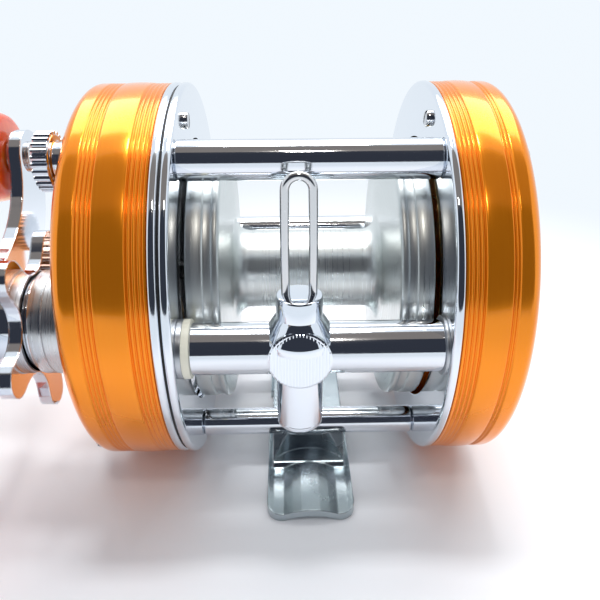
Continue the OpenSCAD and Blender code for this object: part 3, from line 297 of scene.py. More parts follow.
def new_group(name, inputs, outputs):
    """A shader node group with named inputs and outputs."""
    group = bpy.data.node_groups.new(name, "ShaderNodeTree")
    for label, kind, start in inputs:
        socket = group.interface.new_socket(label, in_out="INPUT", socket_type=kind)
        socket.default_value = start
    for label, kind in outputs:
        group.interface.new_socket(label, in_out="OUTPUT", socket_type=kind)
    return group, group.nodes.new("NodeGroupInput"), group.nodes.new("NodeGroupOutput")


def spread(tree, value, low, high, to_low, to_high):
    """Maps a value from one range to another."""
    return add(tree, "ShaderNodeMapRange", [
        ("Value", value), ("From Min", low), ("From Max", high), ("To Min", to_low), ("To Max", to_high)
    ]).outputs["Result"]


# Handling marks on plated and polished metal: cloudy smears and a few small specks.
handling, given, gives = new_group(
    "handling_marks", [("Size", "NodeSocketFloat", 60.0), ("Specks", "NodeSocketFloat", 0.05)],
    [("Smear", "NodeSocketFloat"), ("Speck", "NodeSocketFloat")])
where = add(handling, "ShaderNodeTexCoord").outputs["Object"]
cloud = add(handling, "ShaderNodeTexNoise", [
    ("Vector", where), ("Scale", given.outputs["Size"]), ("Detail", 5.0)])
handling.links.new(spread(handling, cloud.outputs["Fac"], 0.42, 0.7, 0, 1), gives.inputs["Smear"])
cells = add(handling, "ShaderNodeTexVoronoi", [("Vector", where), ("Scale", 1500.0)])
dots = spread(handling, cells.outputs["Distance"], 0.1, 0.2, 1, 0)
pick = add(handling, "ShaderNodeSeparateColor", [(0, cells.outputs["Color"])]).outputs[0]
few = maths(handling, "LESS_THAN", pick, given.outputs["Specks"])
handling.links.new(maths(handling, "MULTIPLY", dots, few), gives.inputs["Speck"])

# Rings that a lathe tool leaves about an axis along X.
lathe_marks, given, gives = new_group(
    "lathe_marks",
    [("Axis", "NodeSocketVector", (0, 0, foot_to_axis)), ("Fineness", "NodeSocketFloat", 9000.0)],
    [("Mark", "NodeSocketFloat")])
where = add(lathe_marks, "ShaderNodeTexCoord").outputs["Object"]
off = add(lathe_marks, "ShaderNodeVectorMath", [(0, where), (1, given.outputs["Axis"])], operation="SUBTRACT")
parts = add(lathe_marks, "ShaderNodeSeparateXYZ", [(0, off.outputs[0])])
flat = add(lathe_marks, "ShaderNodeCombineXYZ", [("Y", parts.outputs["Y"]), ("Z", parts.outputs["Z"])])
out_r = add(lathe_marks, "ShaderNodeVectorMath", [(0, flat.outputs[0])], operation="LENGTH").outputs["Value"]
track = add(lathe_marks, "ShaderNodeCombineXYZ", [("X", out_r), ("Y", parts.outputs["X"])])
track = add(lathe_marks, "ShaderNodeVectorMath", [(0, track.outputs[0])], operation="SCALE")
lathe_marks.links.new(given.outputs["Fineness"], track.inputs["Scale"])
rings_left = add(lathe_marks, "ShaderNodeTexNoise", [
    ("Vector", track.outputs[0]), ("Scale", 1.0), ("Detail", 3.0)], noise_dimensions="2D")
lathe_marks.links.new(rings_left.outputs["Fac"], gives.inputs["Mark"])


def mixed(tree, share, colour, other):
    """Goes from one colour to another."""
    tint = add(tree, "ShaderNodeMix", data_type="RGBA")
    tint.inputs["A"].default_value = (*colour, 1)
    tint.inputs["B"].default_value = (*other, 1)
    tree.links.new(share, tint.inputs["Factor"])
    return tint.outputs["Result"]


def bumped(tree, height, depth, normal=None):
    """A surface's fine relief, depth metres deep."""
    links = [("Height", height), ("Distance", depth), ("Strength", 1.0)]
    links += [("Normal", normal)] if normal else []
    return add(tree, "ShaderNodeBump", links).outputs["Normal"]


def surfaced(material, looks):
    """Ends a material with the shader that has these looks."""
    face = add(material.node_tree, "ShaderNodeBsdfPrincipled", looks)
    add(material.node_tree, "ShaderNodeOutputMaterial", [("Surface", face.outputs[0])])
    return material


def metal(name, colour, rough, smear=0.08, specks=0.04, lathe=None, cast=0.0, size=70.0, edge=0.0):
    """Polished, plated or brushed metal. lathe is (axis, fineness, bump, roughness), cast is a surface grain,
    and edge is the radius that polishing leaves on the corners."""
    material, tree = new_material(name)
    marks = add(tree, "ShaderNodeGroup", node_tree=handling)
    marks.inputs["Size"].default_value = size
    marks.inputs["Specks"].default_value = specks
    smeared = spread(tree, marks.outputs["Smear"], 0, 1, rough, rough + smear)
    paler = tuple(min(1, c * 0.7 + 0.28) for c in colour)
    tint = mixed(tree, marks.outputs["Speck"], colour, paler)
    height = None
    if lathe:
        rings = add(tree, "ShaderNodeGroup", node_tree=lathe_marks)
        rings.inputs["Axis"].default_value = lathe[0]
        rings.inputs["Fineness"].default_value = lathe[1]
        height, depth = rings.outputs["Mark"], lathe[2]
        smeared = maths(tree, "ADD", smeared, spread(tree, height, 0.3, 0.7, 0, lathe[3]))
    elif cast:
        where = add(tree, "ShaderNodeTexCoord").outputs["Object"]
        grain = add(tree, "ShaderNodeTexNoise", [("Vector", where), ("Scale", 1800.0), ("Detail", 3.0)])
        height, depth = grain.outputs["Fac"], cast
    normal = add(tree, "ShaderNodeBevel", [("Radius", edge)], samples=4).outputs["Normal"] if edge else None
    if height is not None:
        normal = bumped(tree, height, depth, normal)
    looks = [("Metallic", 1.0), ("Base Color", tint), ("Roughness", smeared)]
    return surfaced(material, looks + ([("Normal", normal)] if normal else []))


def place(piece, body, slot, material, *replaced):
    """Gives a piece its material and its body, and hides the CAD nodes that it stands for; the slot is not used.
    """
    piece.data.materials.clear()
    piece.data.materials.append(material)
    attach(piece, body)
    if replaced:
        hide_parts(*replaced)
    return piece


def dress(material, *names):
    """Gives CAD nodes a material in every slot."""
    for name in names:
        mesh = nodes[name].data
        if not mesh.materials:
            mesh.materials.append(material)
        for i in range(len(mesh.materials)):
            mesh.materials[i] = material


def span(node, axis="x"):
    """Where a CAD node starts and ends along an axis, in millimetres."""
    low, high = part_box(node)
    return getattr(low, axis) / MM, getattr(high, axis) / MM


def middle(node):
    """The middle of a CAD node across X, in millimetres."""
    low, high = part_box(node)
    return (low.y + high.y) / 2 / MM, (low.z + high.z) / 2 / MM


chrome = metal("mirror_chrome", (0.79, 0.825, 0.88), 0.04, 0.07, 0.035)
axis_h = foot_to_axis / MM
spool_axis = (0, axis_h)
ring_r = (span("gear_plate", "z")[1] - span("gear_plate", "z")[0]) / 2
pillar_r = ring_r - 3.8
pillar_angles = {"top": 57, "rear": 185, "low": -66, "rear_low": 246}
ring_bore_r = 21.6
gear_plate_bore_r = 4.2
ring_bead = 0.5
bush_hole_r = 2.55
drive_hole_r = 3.4
plate_screw_angle = 78


def at_polar(angle, r):
    """A point of the side plates in Y and Z: angle from the front upwards, and radius."""
    a = math.radians(angle)
    return -r * math.cos(a), axis_h + r * math.sin(a)


def ring_outline(x0, x1, bore_r):
    bead = ring_bead
    corner = arc((ring_r - bead, x0 + bead), (bead, bead), -90, 0, 15)
    rim = corner + [(r, x0 + x1 - x) for r, x in reversed(corner)]
    soft = 0.1
    bore = [(bore_r + 2 * soft, x1), (bore_r + soft, x1), (bore_r + 0.03, x1 - 0.03), (bore_r, x1 - soft),
            (bore_r, x0 + soft), (bore_r + 0.03, x0 + 0.03), (bore_r + soft, x0), (bore_r + 2 * soft, x0)]
    return [(ring_r - bead - 0.2, x0)] + rim + [(ring_r - bead - 0.2, x1)] + bore


worm_axis = middle("wind_tube")
drive_axis = middle("boss_sleeve")
ring_bores = {"handle_ring": ring_bore_r, "palm_ring": ring_bore_r, "gear_plate": gear_plate_bore_r}
for ring_name, bore_r in ring_bores.items():
    left, right = span(ring_name)
    ring = turned(ring_name + "_chrome", ring_outline(left, right, bore_r), (0, *spool_axis), segments=256)
    holes = [drill(bush_hole_r, left - 1, right + 1, worm_axis)]
    if ring_name == "gear_plate":
        holes.append(drill(drive_hole_r, left - 1, right + 1, drive_axis))
    cut(ring, *holes)
    place(ring, "frame", "chrome", chrome, ring_name)

# ------------------------------------------------------------------ gasket
# A thin black rubber ring between the handle side ring and the gear plate, stamped from sheet.
# The two plates squeeze it, and its edge shows as a dark line.
def plain(name, colour, rough, speckle, grain, coat=0.0):
    """Rubber, moulded plastic or fibre: a colour with cloudy variation and a fine surface grain."""
    material, tree = new_material(name)
    where = add(tree, "ShaderNodeTexCoord").outputs["Object"]
    cloud = add(tree, "ShaderNodeTexNoise", [("Vector", where), ("Scale", 260.0), ("Detail", 4.0)])
    tone = cloud.outputs["Fac"]
    tint = mixed(tree, spread(tree, tone, 0.35, 0.65, 0, 1), colour, tuple(c * (1 - speckle) for c in colour))
    fine = add(tree, "ShaderNodeTexNoise", [("Vector", where), ("Scale", 900.0), ("Detail", 2.0)])
    return surfaced(material, [
        ("Coat Weight", coat), ("Base Color", tint), ("Normal", bumped(tree, fine.outputs["Fac"], grain)),
        ("Roughness", spread(tree, tone, 0.3, 0.7, rough * 0.9, rough * 1.1))])


gasket_black = plain("gasket_rubber", (0.012, 0.012, 0.014), 0.6, 0.3, 0.00002)
left, right = span("gasket")
gasket_r = ring_r - 0.35
gasket = tube("gasket_rubber", ring_bore_r + 1, gasket_r, left, right, (0, *spool_axis),
              segments=256, soft=0.04)
place(gasket, "frame", "black_gasket", gasket_black, "gasket")

# ------------------------------------------------------------------ side covers
# Two cups turned from aluminium bar and anodised orange. Fine grooves with round ribs between them
# run beside the rim and before the face; the wide band between them is gently barrelled.
groove_depth = 0.24
groove_half = 0.17
cover_wall = 1.0
cover_round = (3.4, 2.1)
barrel = 0.12


def orange_metal(name, axis):
    """Clear orange anodising over fine turning marks."""
    material, tree = new_material(name)
    marks = add(tree, "ShaderNodeGroup", node_tree=handling)
    marks.inputs["Size"].default_value = 110
    marks.inputs["Specks"].default_value = 0.012
    rings = add(tree, "ShaderNodeGroup", node_tree=lathe_marks)
    rings.inputs["Axis"].default_value = (0, axis[0] * MM, axis[1] * MM)
    rings.inputs["Fineness"].default_value = 7000
    mark = rings.outputs["Mark"]
    base = spread(tree, mark, 0.3, 0.7, 0.15, 0.19)
    more = spread(tree, marks.outputs["Smear"], 0, 1, 0, 0.05)
    return surfaced(material, [
        ("Metallic", 0.7), ("Coat Weight", 0.3), ("Coat Roughness", 0.05),
        ("Base Color", mixed(tree, mark, (0.95, 0.26, 0.004), (1.0, 0.31, 0.008))),
        ("Roughness", maths(tree, "ADD", base, more)), ("Normal", bumped(tree, mark, 0.0000007))])


orange = orange_metal("orange_anodising", spool_axis)


def cover_skin(depth, grooves):
    """The outside of a cover from its rim to its face, as [radius, distance from the rim]."""
    shoulder = depth - cover_round[1]
    groups = sorted(grooves)
    gaps = list(zip(groups, groups[1:]))
    wide = max(gaps, key=lambda g: g[1] - g[0])

    def radius(d):
        valley = max(math.exp(-(((d - g) / groove_half) ** 2)) for g in grooves)
        across = (2 * d - wide[0] - wide[1]) / (wide[1] - wide[0])
        swell = barrel * across * across if abs(across) < 1 else barrel
        return ring_r - groove_depth * valley - swell

    steps = {0.0, 0.06, shoulder}
    for g in grooves:
        steps |= {round(g + groove_half * k / 3, 4) for k in range(-6, 7)}
    for i in range(1, 24):
        steps.add(round(wide[0] + (wide[1] - wide[0]) * i / 24, 4))
    for i in range(1, 6):
        steps.add(round(groups[-1] + (shoulder - groups[-1]) * i / 6, 4))
    skin = [(radius(d) - (0.12 if d == 0 else 0), d) for d in sorted(steps) if 0 <= d <= shoulder]
    start_r = skin[-1][0]
    return skin + arc((start_r - cover_round[0], shoulder), cover_round, 6, 90, 6)


handle_rim, palm_rim = span("gear_plate")[0], span("palm_ring")[1]
handle_depth = 12.4
palm_depth = 10.1
handle_face = -handle_rim + handle_depth
palm_face = palm_rim + palm_depth
cover_in_r = ring_r - 1.22
cap_tube_r = 4.9
bearing_r = 3.5
thumb_seat_r = 2.75
screw_pocket_r = 1.5
screw_sink = 0.8
screw_hole_r = 1.25
shaft_hole_r = 2.6
sleeve_hole_r = 6.53
face_step_r = 21.5

inside = [(cap_tube_r, handle_depth - 3), (cap_tube_r, handle_depth - cover_wall),
          (cover_in_r - 2.2, handle_depth - cover_wall), (cover_in_r, handle_depth - 3.2), (cover_in_r, 0)]
cap_tube = [(cap_tube_r + 0.5, handle_depth), (cap_tube_r, handle_depth + 0.4),
            (cap_tube_r, handle_depth + 3.2), (cap_tube_r - 0.2, handle_depth + 3.4),
            (bearing_r, handle_depth + 3.4), (bearing_r, handle_depth - 2.2),
            (shaft_hole_r, handle_depth - 2.2), (shaft_hole_r, handle_depth - 3)]
handle_skin = cover_skin(handle_depth, [0.55, 1.2, 1.85, 2.45, 6.95, 7.55, 8.1, 8.65])
handle_outline = [(r, handle_rim - d) for r, d in handle_skin + cap_tube + inside]
handle_cover = turned("handle_cover_orange", handle_outline, (0, *spool_axis), segments=288)
cutters = [tube("seat", 0, sleeve_hole_r, -handle_face - 2, -handle_face + 4, (0, *drive_axis), segments=96)]
for side in ("top", "rear", "low"):
    yz = at_polar(pillar_angles[side], pillar_r)
    cutters.append(turned("seat", [
        (0, -handle_face - 1), (thumb_seat_r, -handle_face - 1), (thumb_seat_r, -handle_face + 0.6),
        (screw_hole_r, -handle_face + 0.6), (screw_hole_r, -handle_face + 20), (0, -handle_face + 20)
    ], (0, *yz), segments=64))
button_low, button_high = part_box("thumb_button")
slot_room = 0.3
button_angle = 150
button_t = 4.2
slot = box_cutter((button_low.x / MM - slot_room, button_high.x / MM + slot_room),
                  (20, 40), (-button_t / 2 - slot_room, button_t / 2 + slot_room))
slot.data.transform(Matrix.Rotation(math.radians(180 - button_angle), 4, "X"))
slot.data.transform(Matrix.Translation((0, 0, foot_to_axis)))
cut(handle_cover, *cutters, slot)
place(handle_cover, "frame", "orange_anodised", orange, "handle_cover")

palm_seat_r = bearing_r + 1.3
palm_inside = [(0, palm_depth - 0.6), (bearing_r, palm_depth - 0.6), (bearing_r, palm_depth - 3.6),
               (palm_seat_r, palm_depth - 3.6), (palm_seat_r, palm_depth - cover_wall),
               (cover_in_r - 2.2, palm_depth - cover_wall), (cover_in_r, palm_depth - 3.2), (cover_in_r, 0)]
palm_face_rings = [(face_step_r + 0.1, palm_depth), (face_step_r - 0.15, palm_depth + 0.06),
                   (face_step_r - 0.4, palm_depth + 0.3), (face_step_r - 0.8, palm_depth + 0.42),
                   (14, palm_depth + 0.66), (7.2, palm_depth + 0.84), (6.9, palm_depth + 0.74),
                   (6.6, palm_depth + 0.86), (5.2, palm_depth + 0.9), (2.4, palm_depth + 0.98),
                   (0, palm_depth + 1)]
palm_skin = cover_skin(palm_depth, [0.55, 1.15, 1.75, 2.35, 6.1, 6.6])
palm_outline = [(r, palm_rim + d) for r, d in palm_skin + palm_face_rings + palm_inside]
palm_cover = turned("palm_cover_orange", palm_outline, (0, *spool_axis), segments=288)
palm_screw_places = [at_polar(pillar_angles[side], pillar_r) for side in ("top", "rear", "low")]
palm_screw_places.append(at_polar(26, ring_r - 5.4))
cutters = [tube("seat", 0, screw_pocket_r, palm_face - screw_sink, palm_face + 3, (0, *yz), segments=48)
           for yz in palm_screw_places]
cut(palm_cover, *cutters)
place(palm_cover, "frame", "orange_anodised", orange, "palm_cover")

# ------------------------------------------------------------------ pillars
# Four turned pillars hold the side rings apart; their tenons sit in the rings and screws pull them tight.
# The same plated brass as the rings, with the marks of handling along them.
pillar_chrome = metal("pillar_chrome", (0.78, 0.81, 0.86), 0.06, 0.08, 0.12, size=45)
face_x = span("palm_ring")[0]
tenon_r = 1.7


def pillar(name, angle, d):
    r, x, edge = d / 2, face_x, 0.25
    outline = [(0, -x - 1.4), (tenon_r, -x - 1.4), (tenon_r, -x), (r - edge, -x), (r, -x + edge),
               (r, -x + 1.2), (r, x - 1.2), (r, x - edge), (r - edge, x), (tenon_r, x), (tenon_r, x + 1.25),
               (0, x + 1.25)]
    return turned(name, outline, (0, *at_polar(angle, pillar_r)), segments=96, soft=0.04)


def merged(name, *pieces):
    """Several pieces as the loose parts of one mesh."""
    work = bmesh.new()
    for piece in pieces:
        work.from_mesh(piece.data)
        bpy.data.objects.remove(piece)
    mesh = bpy.data.meshes.new(name)
    work.to_mesh(mesh)
    work.free()
    whole = bpy.data.objects.new(name, mesh)
    bpy.context.scene.collection.objects.link(whole)
    mesh.shade_smooth()
    mesh.set_sharp_from_angle(angle=math.radians(40))
    return whole


place(pillar("top_bar_chrome", pillar_angles["top"], 5.5), "frame", "chrome", pillar_chrome, "top_bar")
place(pillar("rear_bar_chrome", pillar_angles["rear"], 5.2), "frame", "chrome", pillar_chrome, "rear_bar")
low_bars = [pillar("bar", pillar_angles[side], 4.5) for side in ("low", "rear_low")]
place(merged("lower_bars_chrome", *low_bars), "frame", "chrome", pillar_chrome, "lower_bars")

# ------------------------------------------------------------------ level wind
# A chromed tube across the front holds the worm, and a plated guide slides along it.
# The tube is slotted underneath for the guide's pawl, and ivory nylon bushes carry the worm's ends.
tube_r = 3.5
tube_bore_r = 2.6
tube_left, tube_right = span("wind_tube")
wind_tube = tube("wind_tube_chrome", tube_bore_r, tube_r, tube_left, tube_right, (0, *worm_axis),
                 segments=128, soft=0.12)
slot_half, travel = 1.4, 10.7
slot = box_cutter((-travel - slot_half, travel + slot_half),
                  (worm_axis[0] - slot_half, worm_axis[0] + slot_half), (worm_axis[1] - 8, worm_axis[1]))
cut(wind_tube, slot)
place(wind_tube, "frame", "chrome", pillar_chrome, "wind_tube")

washer_r = 4.0
grey_steel = metal("dull_steel", (0.5, 0.52, 0.55), 0.28, 0.12, 0.05)
washers_left, washers_right = span("wind_washers")
washers = [tube("washer", bush_hole_r, washer_r, x0, x1, (0, *worm_axis), segments=96, soft=0.1)
           for x0, x1 in ((washers_left, tube_left - 1), (tube_right, washers_right))]
place(merged("wind_washers_steel", *washers), "frame", "grey_washer", grey_steel, "wind_washers")
ivory = plain("ivory_nylon", (0.8, 0.78, 0.66), 0.38, 0.08, 0.00001, coat=0.1)
journal_r, bush_r, plug_r = 1.36, 2.5, 2.57
bushes_left, bushes_right = span("worm_bushes")
bush_left = turned("bush", [
    (journal_r, bushes_left), (bush_r, bushes_left), (bush_r, tube_left - 1), (washer_r, tube_left - 1),
    (washer_r, tube_left), (journal_r, tube_left)
], (0, *worm_axis), segments=96, soft=0.1)
bush_right = turned("bush", [
    (journal_r, tube_right - 1.5), (plug_r, tube_right - 1.5), (plug_r, tube_right), (bush_r, tube_right),
    (bush_r, bushes_right), (journal_r, bushes_right)
], (0, *worm_axis), segments=96, soft=0.1)
place(merged("worm_bushes_nylon", bush_left, bush_right), "frame", "ivory_plastic", ivory, "worm_bushes")

# ------------------------------------------------------------------ line guide
# A turned body lies across the tube, with a round neck above it and the pawl's leg below it.
# Plated brass; its flat front is serrated with upright grooves.
guide_x = (span("guide_wire")[0] + span("guide_wire")[1]) / 2
barrel_r, neck_r, leg_r = 4.25, 3.05, 3.15
barrel_front, barrel_back = 3.7, 3.92
neck_top, leg_end = 7.9, 12.1
guide_at = (guide_x, *worm_axis)
guide_chrome = metal("guide_chrome", (0.8, 0.84, 0.9), 0.05, 0.07, 0.03)

body = turned("line_guide_chrome", [
    (0, -barrel_front), (barrel_r - 0.3, -barrel_front), (barrel_r - 0.06, -barrel_front + 0.14),
    (barrel_r, -barrel_front + 0.4), (barrel_r, barrel_back), (0, barrel_back)
], guide_at, "Y", segments=96)
neck = turned("neck", [
    (0, 1.0), (barrel_r + 0.5, 1.0), (barrel_r + 0.62, 2.0), (barrel_r + 0.5, 2.35), (neck_r + 0.35, 4.5),
    (neck_r, 4.9), (neck_r, neck_top - 0.3), (neck_r - 0.1, neck_top - 0.08), (neck_r - 0.3, neck_top),
    (0, neck_top)
], guide_at, "Z", segments=96)
leg = turned("leg", [
    (0, -leg_end + 0.9), (leg_r - 0.05, -leg_end + 0.9), (leg_r, -leg_end + 0.95), (leg_r, 0), (0, 0)
], guide_at, "Z", segments=96)
cut(body, neck, leg, operation="UNION", sharp=30)
y_back = worm_axis[0] + barrel_back
bore_r, pawl_well_r = tube_r + 0.06, 1.56
cut(body, tube("bore", 0, bore_r, -15, 15, guide_at, "X", segments=96),
    box_cutter((guide_x - 12, guide_x + 12), (y_back, y_back + 8), (worm_axis[1] - 15, worm_axis[1] + 15)),
    tube("well", 0, pawl_well_r, -leg_end - 1, -3, guide_at, "Z", segments=48), sharp=30)
place(body, "guide", "guide_chrome", guide_chrome, "line_guide")


def new_tree(name, inputs):
    """A Geometry Nodes tree with named inputs; returns it, its input node and its output node."""
    tree = bpy.data.node_groups.new(name, "GeometryNodeTree")
    tree.is_modifier = True
    for label, kind, start in inputs:
        socket = tree.interface.new_socket(label, in_out="INPUT", socket_type=kind)
        if start is not None:
            socket.default_value = start
    tree.interface.new_socket("Geometry", in_out="OUTPUT", socket_type="NodeSocketGeometry")
    return tree, tree.nodes.new("NodeGroupInput"), tree.nodes.new("NodeGroupOutput")


def join_up(tree, made, given, gives):
    """Ends a tree: the piece moved to its place, instances made real, and its material set."""
    moved = add(tree, "GeometryNodeTransform", [(0, made), ("Translation", given.outputs["Middle"])])
    real = add(tree, "GeometryNodeRealizeInstances", [(0, moved.outputs[0])])
    painted = add(tree, "GeometryNodeSetMaterial", [
        ("Geometry", real.outputs[0]), ("Material", given.outputs["Finish"])])
    tree.links.new(painted.outputs[0], gives.inputs[0])


def grown(name, tree, **values):
    """Runs a tree on an empty piece and keeps the result as plain mesh."""
    piece = bpy.data.objects.new(name, bpy.data.meshes.new(name))
    bpy.context.scene.collection.objects.link(piece)
    step = piece.modifiers.new("grow", "NODES")
    step.node_group = tree
    for socket in tree.interface.items_tree:
        label = socket.name.replace(" ", "_")
        if socket.in_out == "INPUT" and label in values:
            step[socket.identifier] = values[label]
    return finish_mesh(settle(piece), 35)


def sums(tree):
    """Adding, taking away, multiplying and dividing in a tree."""
    kinds = ("ADD", "SUBTRACT", "MULTIPLY", "DIVIDE")
    return [lambda a, b, kind=kind: maths(tree, kind, a, b) for kind in kinds]


def vector(tree, **parts):
    return add(tree, "ShaderNodeCombineXYZ", list(parts.items())).outputs[0]


def along_x(tree):
    """Where each point lies along X."""
    spot = add(tree, "GeometryNodeInputPosition").outputs[0]
    return add(tree, "ShaderNodeSeparateXYZ", [(0, spot)]).outputs["X"]


# The flat front's serrations: upright ridges, each as long as the round face is high there.
FLOAT, WHOLE, FINISH, PLACE = "NodeSocketFloat", "NodeSocketInt", "NodeSocketMaterial", "NodeSocketVector"
ridges, given, gives = new_tree("serrated_face", [
    ("Ridges", WHOLE, 19), ("Face Radius", FLOAT, 0.004), ("Depth", FLOAT, 0.0002),
    ("Width Share", FLOAT, 0.66), ("Middle", PLACE, (0, 0, 0)), ("Finish", FINISH, None)])
plus, minus, times, over = sums(ridges)
face_r = given.outputs["Face Radius"]
pitch = over(times(face_r, 2.0), given.outputs["Ridges"])
first = minus(times(pitch, 0.5), face_r)
row = add(ridges, "GeometryNodeMeshLine", [
    ("Count", given.outputs["Ridges"]), ("Start Location", vector(ridges, X=first)),
    ("Offset", vector(ridges, X=pitch))])
here = along_x(ridges)
half_square = maths(ridges, "MAXIMUM", minus(times(face_r, face_r), times(here, here)), 0.0)
half_chord = maths(ridges, "SQRT", half_square)
chord_share, ridge_top = 1.985, 0.45
section = add(ridges, "GeometryNodeCurvePrimitiveQuadrilateral", [
    ("Height", 1.0), ("Bottom Width", 1.0), ("Top Width", ridge_top), ("Offset", 0.0)], mode="TRAPEZOID")
upright = add(ridges, "GeometryNodeCurvePrimitiveLine", [("Start", (0, 0, -0.5)), ("End", (0, 0, 0.5))])
ridge = add(ridges, "GeometryNodeCurveToMesh", [
    ("Curve", upright.outputs[0]), ("Profile Curve", section.outputs[0]), ("Fill Caps", True)])
faced = add(ridges, "GeometryNodeTransform", [
    ("Geometry", ridge.outputs["Mesh"]), ("Rotation", (0, 0, math.pi))])
size = vector(ridges, X=times(pitch, given.outputs["Width Share"]), Y=given.outputs["Depth"],
              Z=times(half_chord, chord_share))
stood = add(ridges, "GeometryNodeInstanceOnPoints", [
    ("Points", row.outputs["Mesh"]), ("Instance", faced.outputs[0]), ("Scale", size)])
join_up(ridges, stood.outputs[0], given, gives)
face_y = worm_axis[0] - barrel_front
face_ridges = grown(
    "guide_serrations", ridges, Ridges=19, Face_Radius=(barrel_r - 0.2) * MM, Depth=0.3 * MM, Width_Share=0.6,
    Middle=(guide_x * MM, (face_y - 0.03) * MM, worm_axis[1] * MM), Finish=guide_chrome)
place(face_ridges, "guide", "guide_chrome", guide_chrome)

# The wire that the line runs through: spring steel bent to a long loop, its ends set in the neck.
wire_steel = metal("wire_steel", (0.7, 0.7, 0.71), 0.16, 0.1, 0.03)
wire_r, wire_half = 0.575, 1.7
wire_low, wire_high = span("guide_wire", "z")
wire_tree, given, gives = new_tree("bent_wire", [
    ("Wire Radius", FLOAT, 0.0006), ("Half Width", FLOAT, 0.0017), ("Low", FLOAT, 0.0),
    ("High", FLOAT, 0.02), ("Bow", FLOAT, 0.0001), ("Middle", PLACE, (0, 0, 0)), ("Finish", FINISH, None)])
plus, minus, times, over = sums(wire_tree)
half_w, high = given.outputs["Half Width"], given.outputs["High"]
run = minus(minus(high, given.outputs["Low"]), half_w)
path_line = add(wire_tree, "GeometryNodeCurvePrimitiveLine", [("Start", (0, 0, 0)), ("End", (1, 0, 0))])
along = add(wire_tree, "GeometryNodeResampleCurve", [("Curve", path_line.outputs[0]), ("Count", 161)])
bend_len = times(half_w, math.pi)
whole_len = plus(times(run, 2.0), bend_len)
from_mid = minus(times(along_x(wire_tree), whole_len), times(whole_len, 0.5))
past = maths(wire_tree, "ABSOLUTE", from_mid)
turn = maths(wire_tree, "MINIMUM", over(past, half_w), math.pi / 2)
down = maths(wire_tree, "MAXIMUM", minus(past, times(bend_len, 0.5)), 0.0)
bow = times(maths(wire_tree, "SINE", times(over(down, run), math.pi)), given.outputs["Bow"])
reach = plus(times(maths(wire_tree, "SINE", turn), half_w), bow)
x_at = times(maths(wire_tree, "SIGN", from_mid), reach)
rise = times(maths(wire_tree, "COSINE", turn), half_w)
z_at = minus(plus(minus(high, half_w), rise), down)
bent = add(wire_tree, "GeometryNodeSetPosition", [
    (0, along.outputs[0]), ("Position", vector(wire_tree, X=x_at, Z=z_at))])
section = add(wire_tree, "GeometryNodeCurvePrimitiveCircle", [
    ("Resolution", 24), ("Radius", given.outputs["Wire Radius"])])
loop = add(wire_tree, "GeometryNodeCurveToMesh", [
    ("Curve", bent.outputs[0]), ("Profile Curve", section.outputs[0]), ("Fill Caps", True)])
join_up(wire_tree, loop.outputs[0], given, gives)
wire = grown(
    "guide_wire_steel", wire_tree, Wire_Radius=wire_r * MM, Half_Width=wire_half * MM, Low=wire_low * MM,
    High=(wire_high - wire_r) * MM, Bow=0.08 * MM, Middle=(guide_x * MM, worm_axis[0] * MM, 0),
    Finish=wire_steel)
place(wire, "guide", "wire_steel", wire_steel, "guide_wire")

# The cap that holds the pawl in the leg, with a screwdriver slot.
cap_stem_r = 1.5
cap_z = span("pawl_cap", "z")[0] - worm_axis[1]
cap = turned("pawl_cap_chrome", [
    (0, cap_z), (leg_r - 0.55, cap_z), (leg_r - 0.2, cap_z + 0.12), (leg_r, cap_z + 0.4),
    (leg_r, cap_z + 0.86), (leg_r - 0.04, cap_z + 0.9), (cap_stem_r, cap_z + 0.9),
    (cap_stem_r, cap_z + 2.1), (0, cap_z + 2.1)
], guide_at, "Z", segments=96)
cut(cap, box_cutter((guide_x - 0.25, guide_x + 0.25), (worm_axis[0] - 4, worm_axis[0] + 4),
                    (worm_axis[1] + cap_z - 1, worm_axis[1] + cap_z + 0.35)))
place(cap, "guide", "guide_chrome", guide_chrome, "pawl_cap")

# ------------------------------------------------------------------ spool
# Turned from one bar of aluminium: a plain arbor with round fillets, two flat flanges and polished rims.
# The inside where the line lies is satin from the lathe, and the rims outside are burnished bright.
spool_r = 21.2
flange_x, arbor_r, arbor_fillet = 11.8, 6.5, 2.6
rim_end = span("spool")[1]
spool_shaft_r = 1.6


def spool_side():
    """Half of the spool's outline, from the arbor outwards and back to the shaft."""
    side = [(arbor_r, 0), (arbor_r, 3), (arbor_r, 6), (arbor_r, 8.2)]
    side += arc((arbor_r + arbor_fillet, flange_x - arbor_fillet), (-arbor_fillet, arbor_fillet), 0, 90, 6)
    side += [(12, flange_x + 0.12), (16, flange_x + 0.4), (spool_r - 1.3, flange_x + 0.63)]
    side += arc((spool_r - 0.6, flange_x + 1.25), (0.6, 0.6), -80, 0, 10)
    groove = [(0, 1.62), (0.05, 1.7), (0.18, 1.8), (0.22, 1.92), (0.22, 2.86), (0.18, 2.96), (0.05, 3.05),
              (0, 3.14)]
    side += [(spool_r - sunk, flange_x + out) for sunk, out in groove]
    side += [(spool_r, rim_end - 0.35), (spool_r - 0.1, rim_end - 0.1), (spool_r - 0.3, rim_end),
             (spool_r - 0.9, rim_end), (spool_r - 1.05, rim_end - 0.1), (spool_r - 1.2, flange_x + 2.9),
             (spool_r - 1.6, flange_x + 2.3), (spool_r - 2.4, flange_x + 2.1),
             (arbor_r + 1.5, flange_x + 1.3), (spool_shaft_r + 2.2, flange_x + 2.3), (spool_shaft_r + 2, flange_x + 2.5),
             (spool_shaft_r + 0.03, flange_x + 2.5)]
    return side


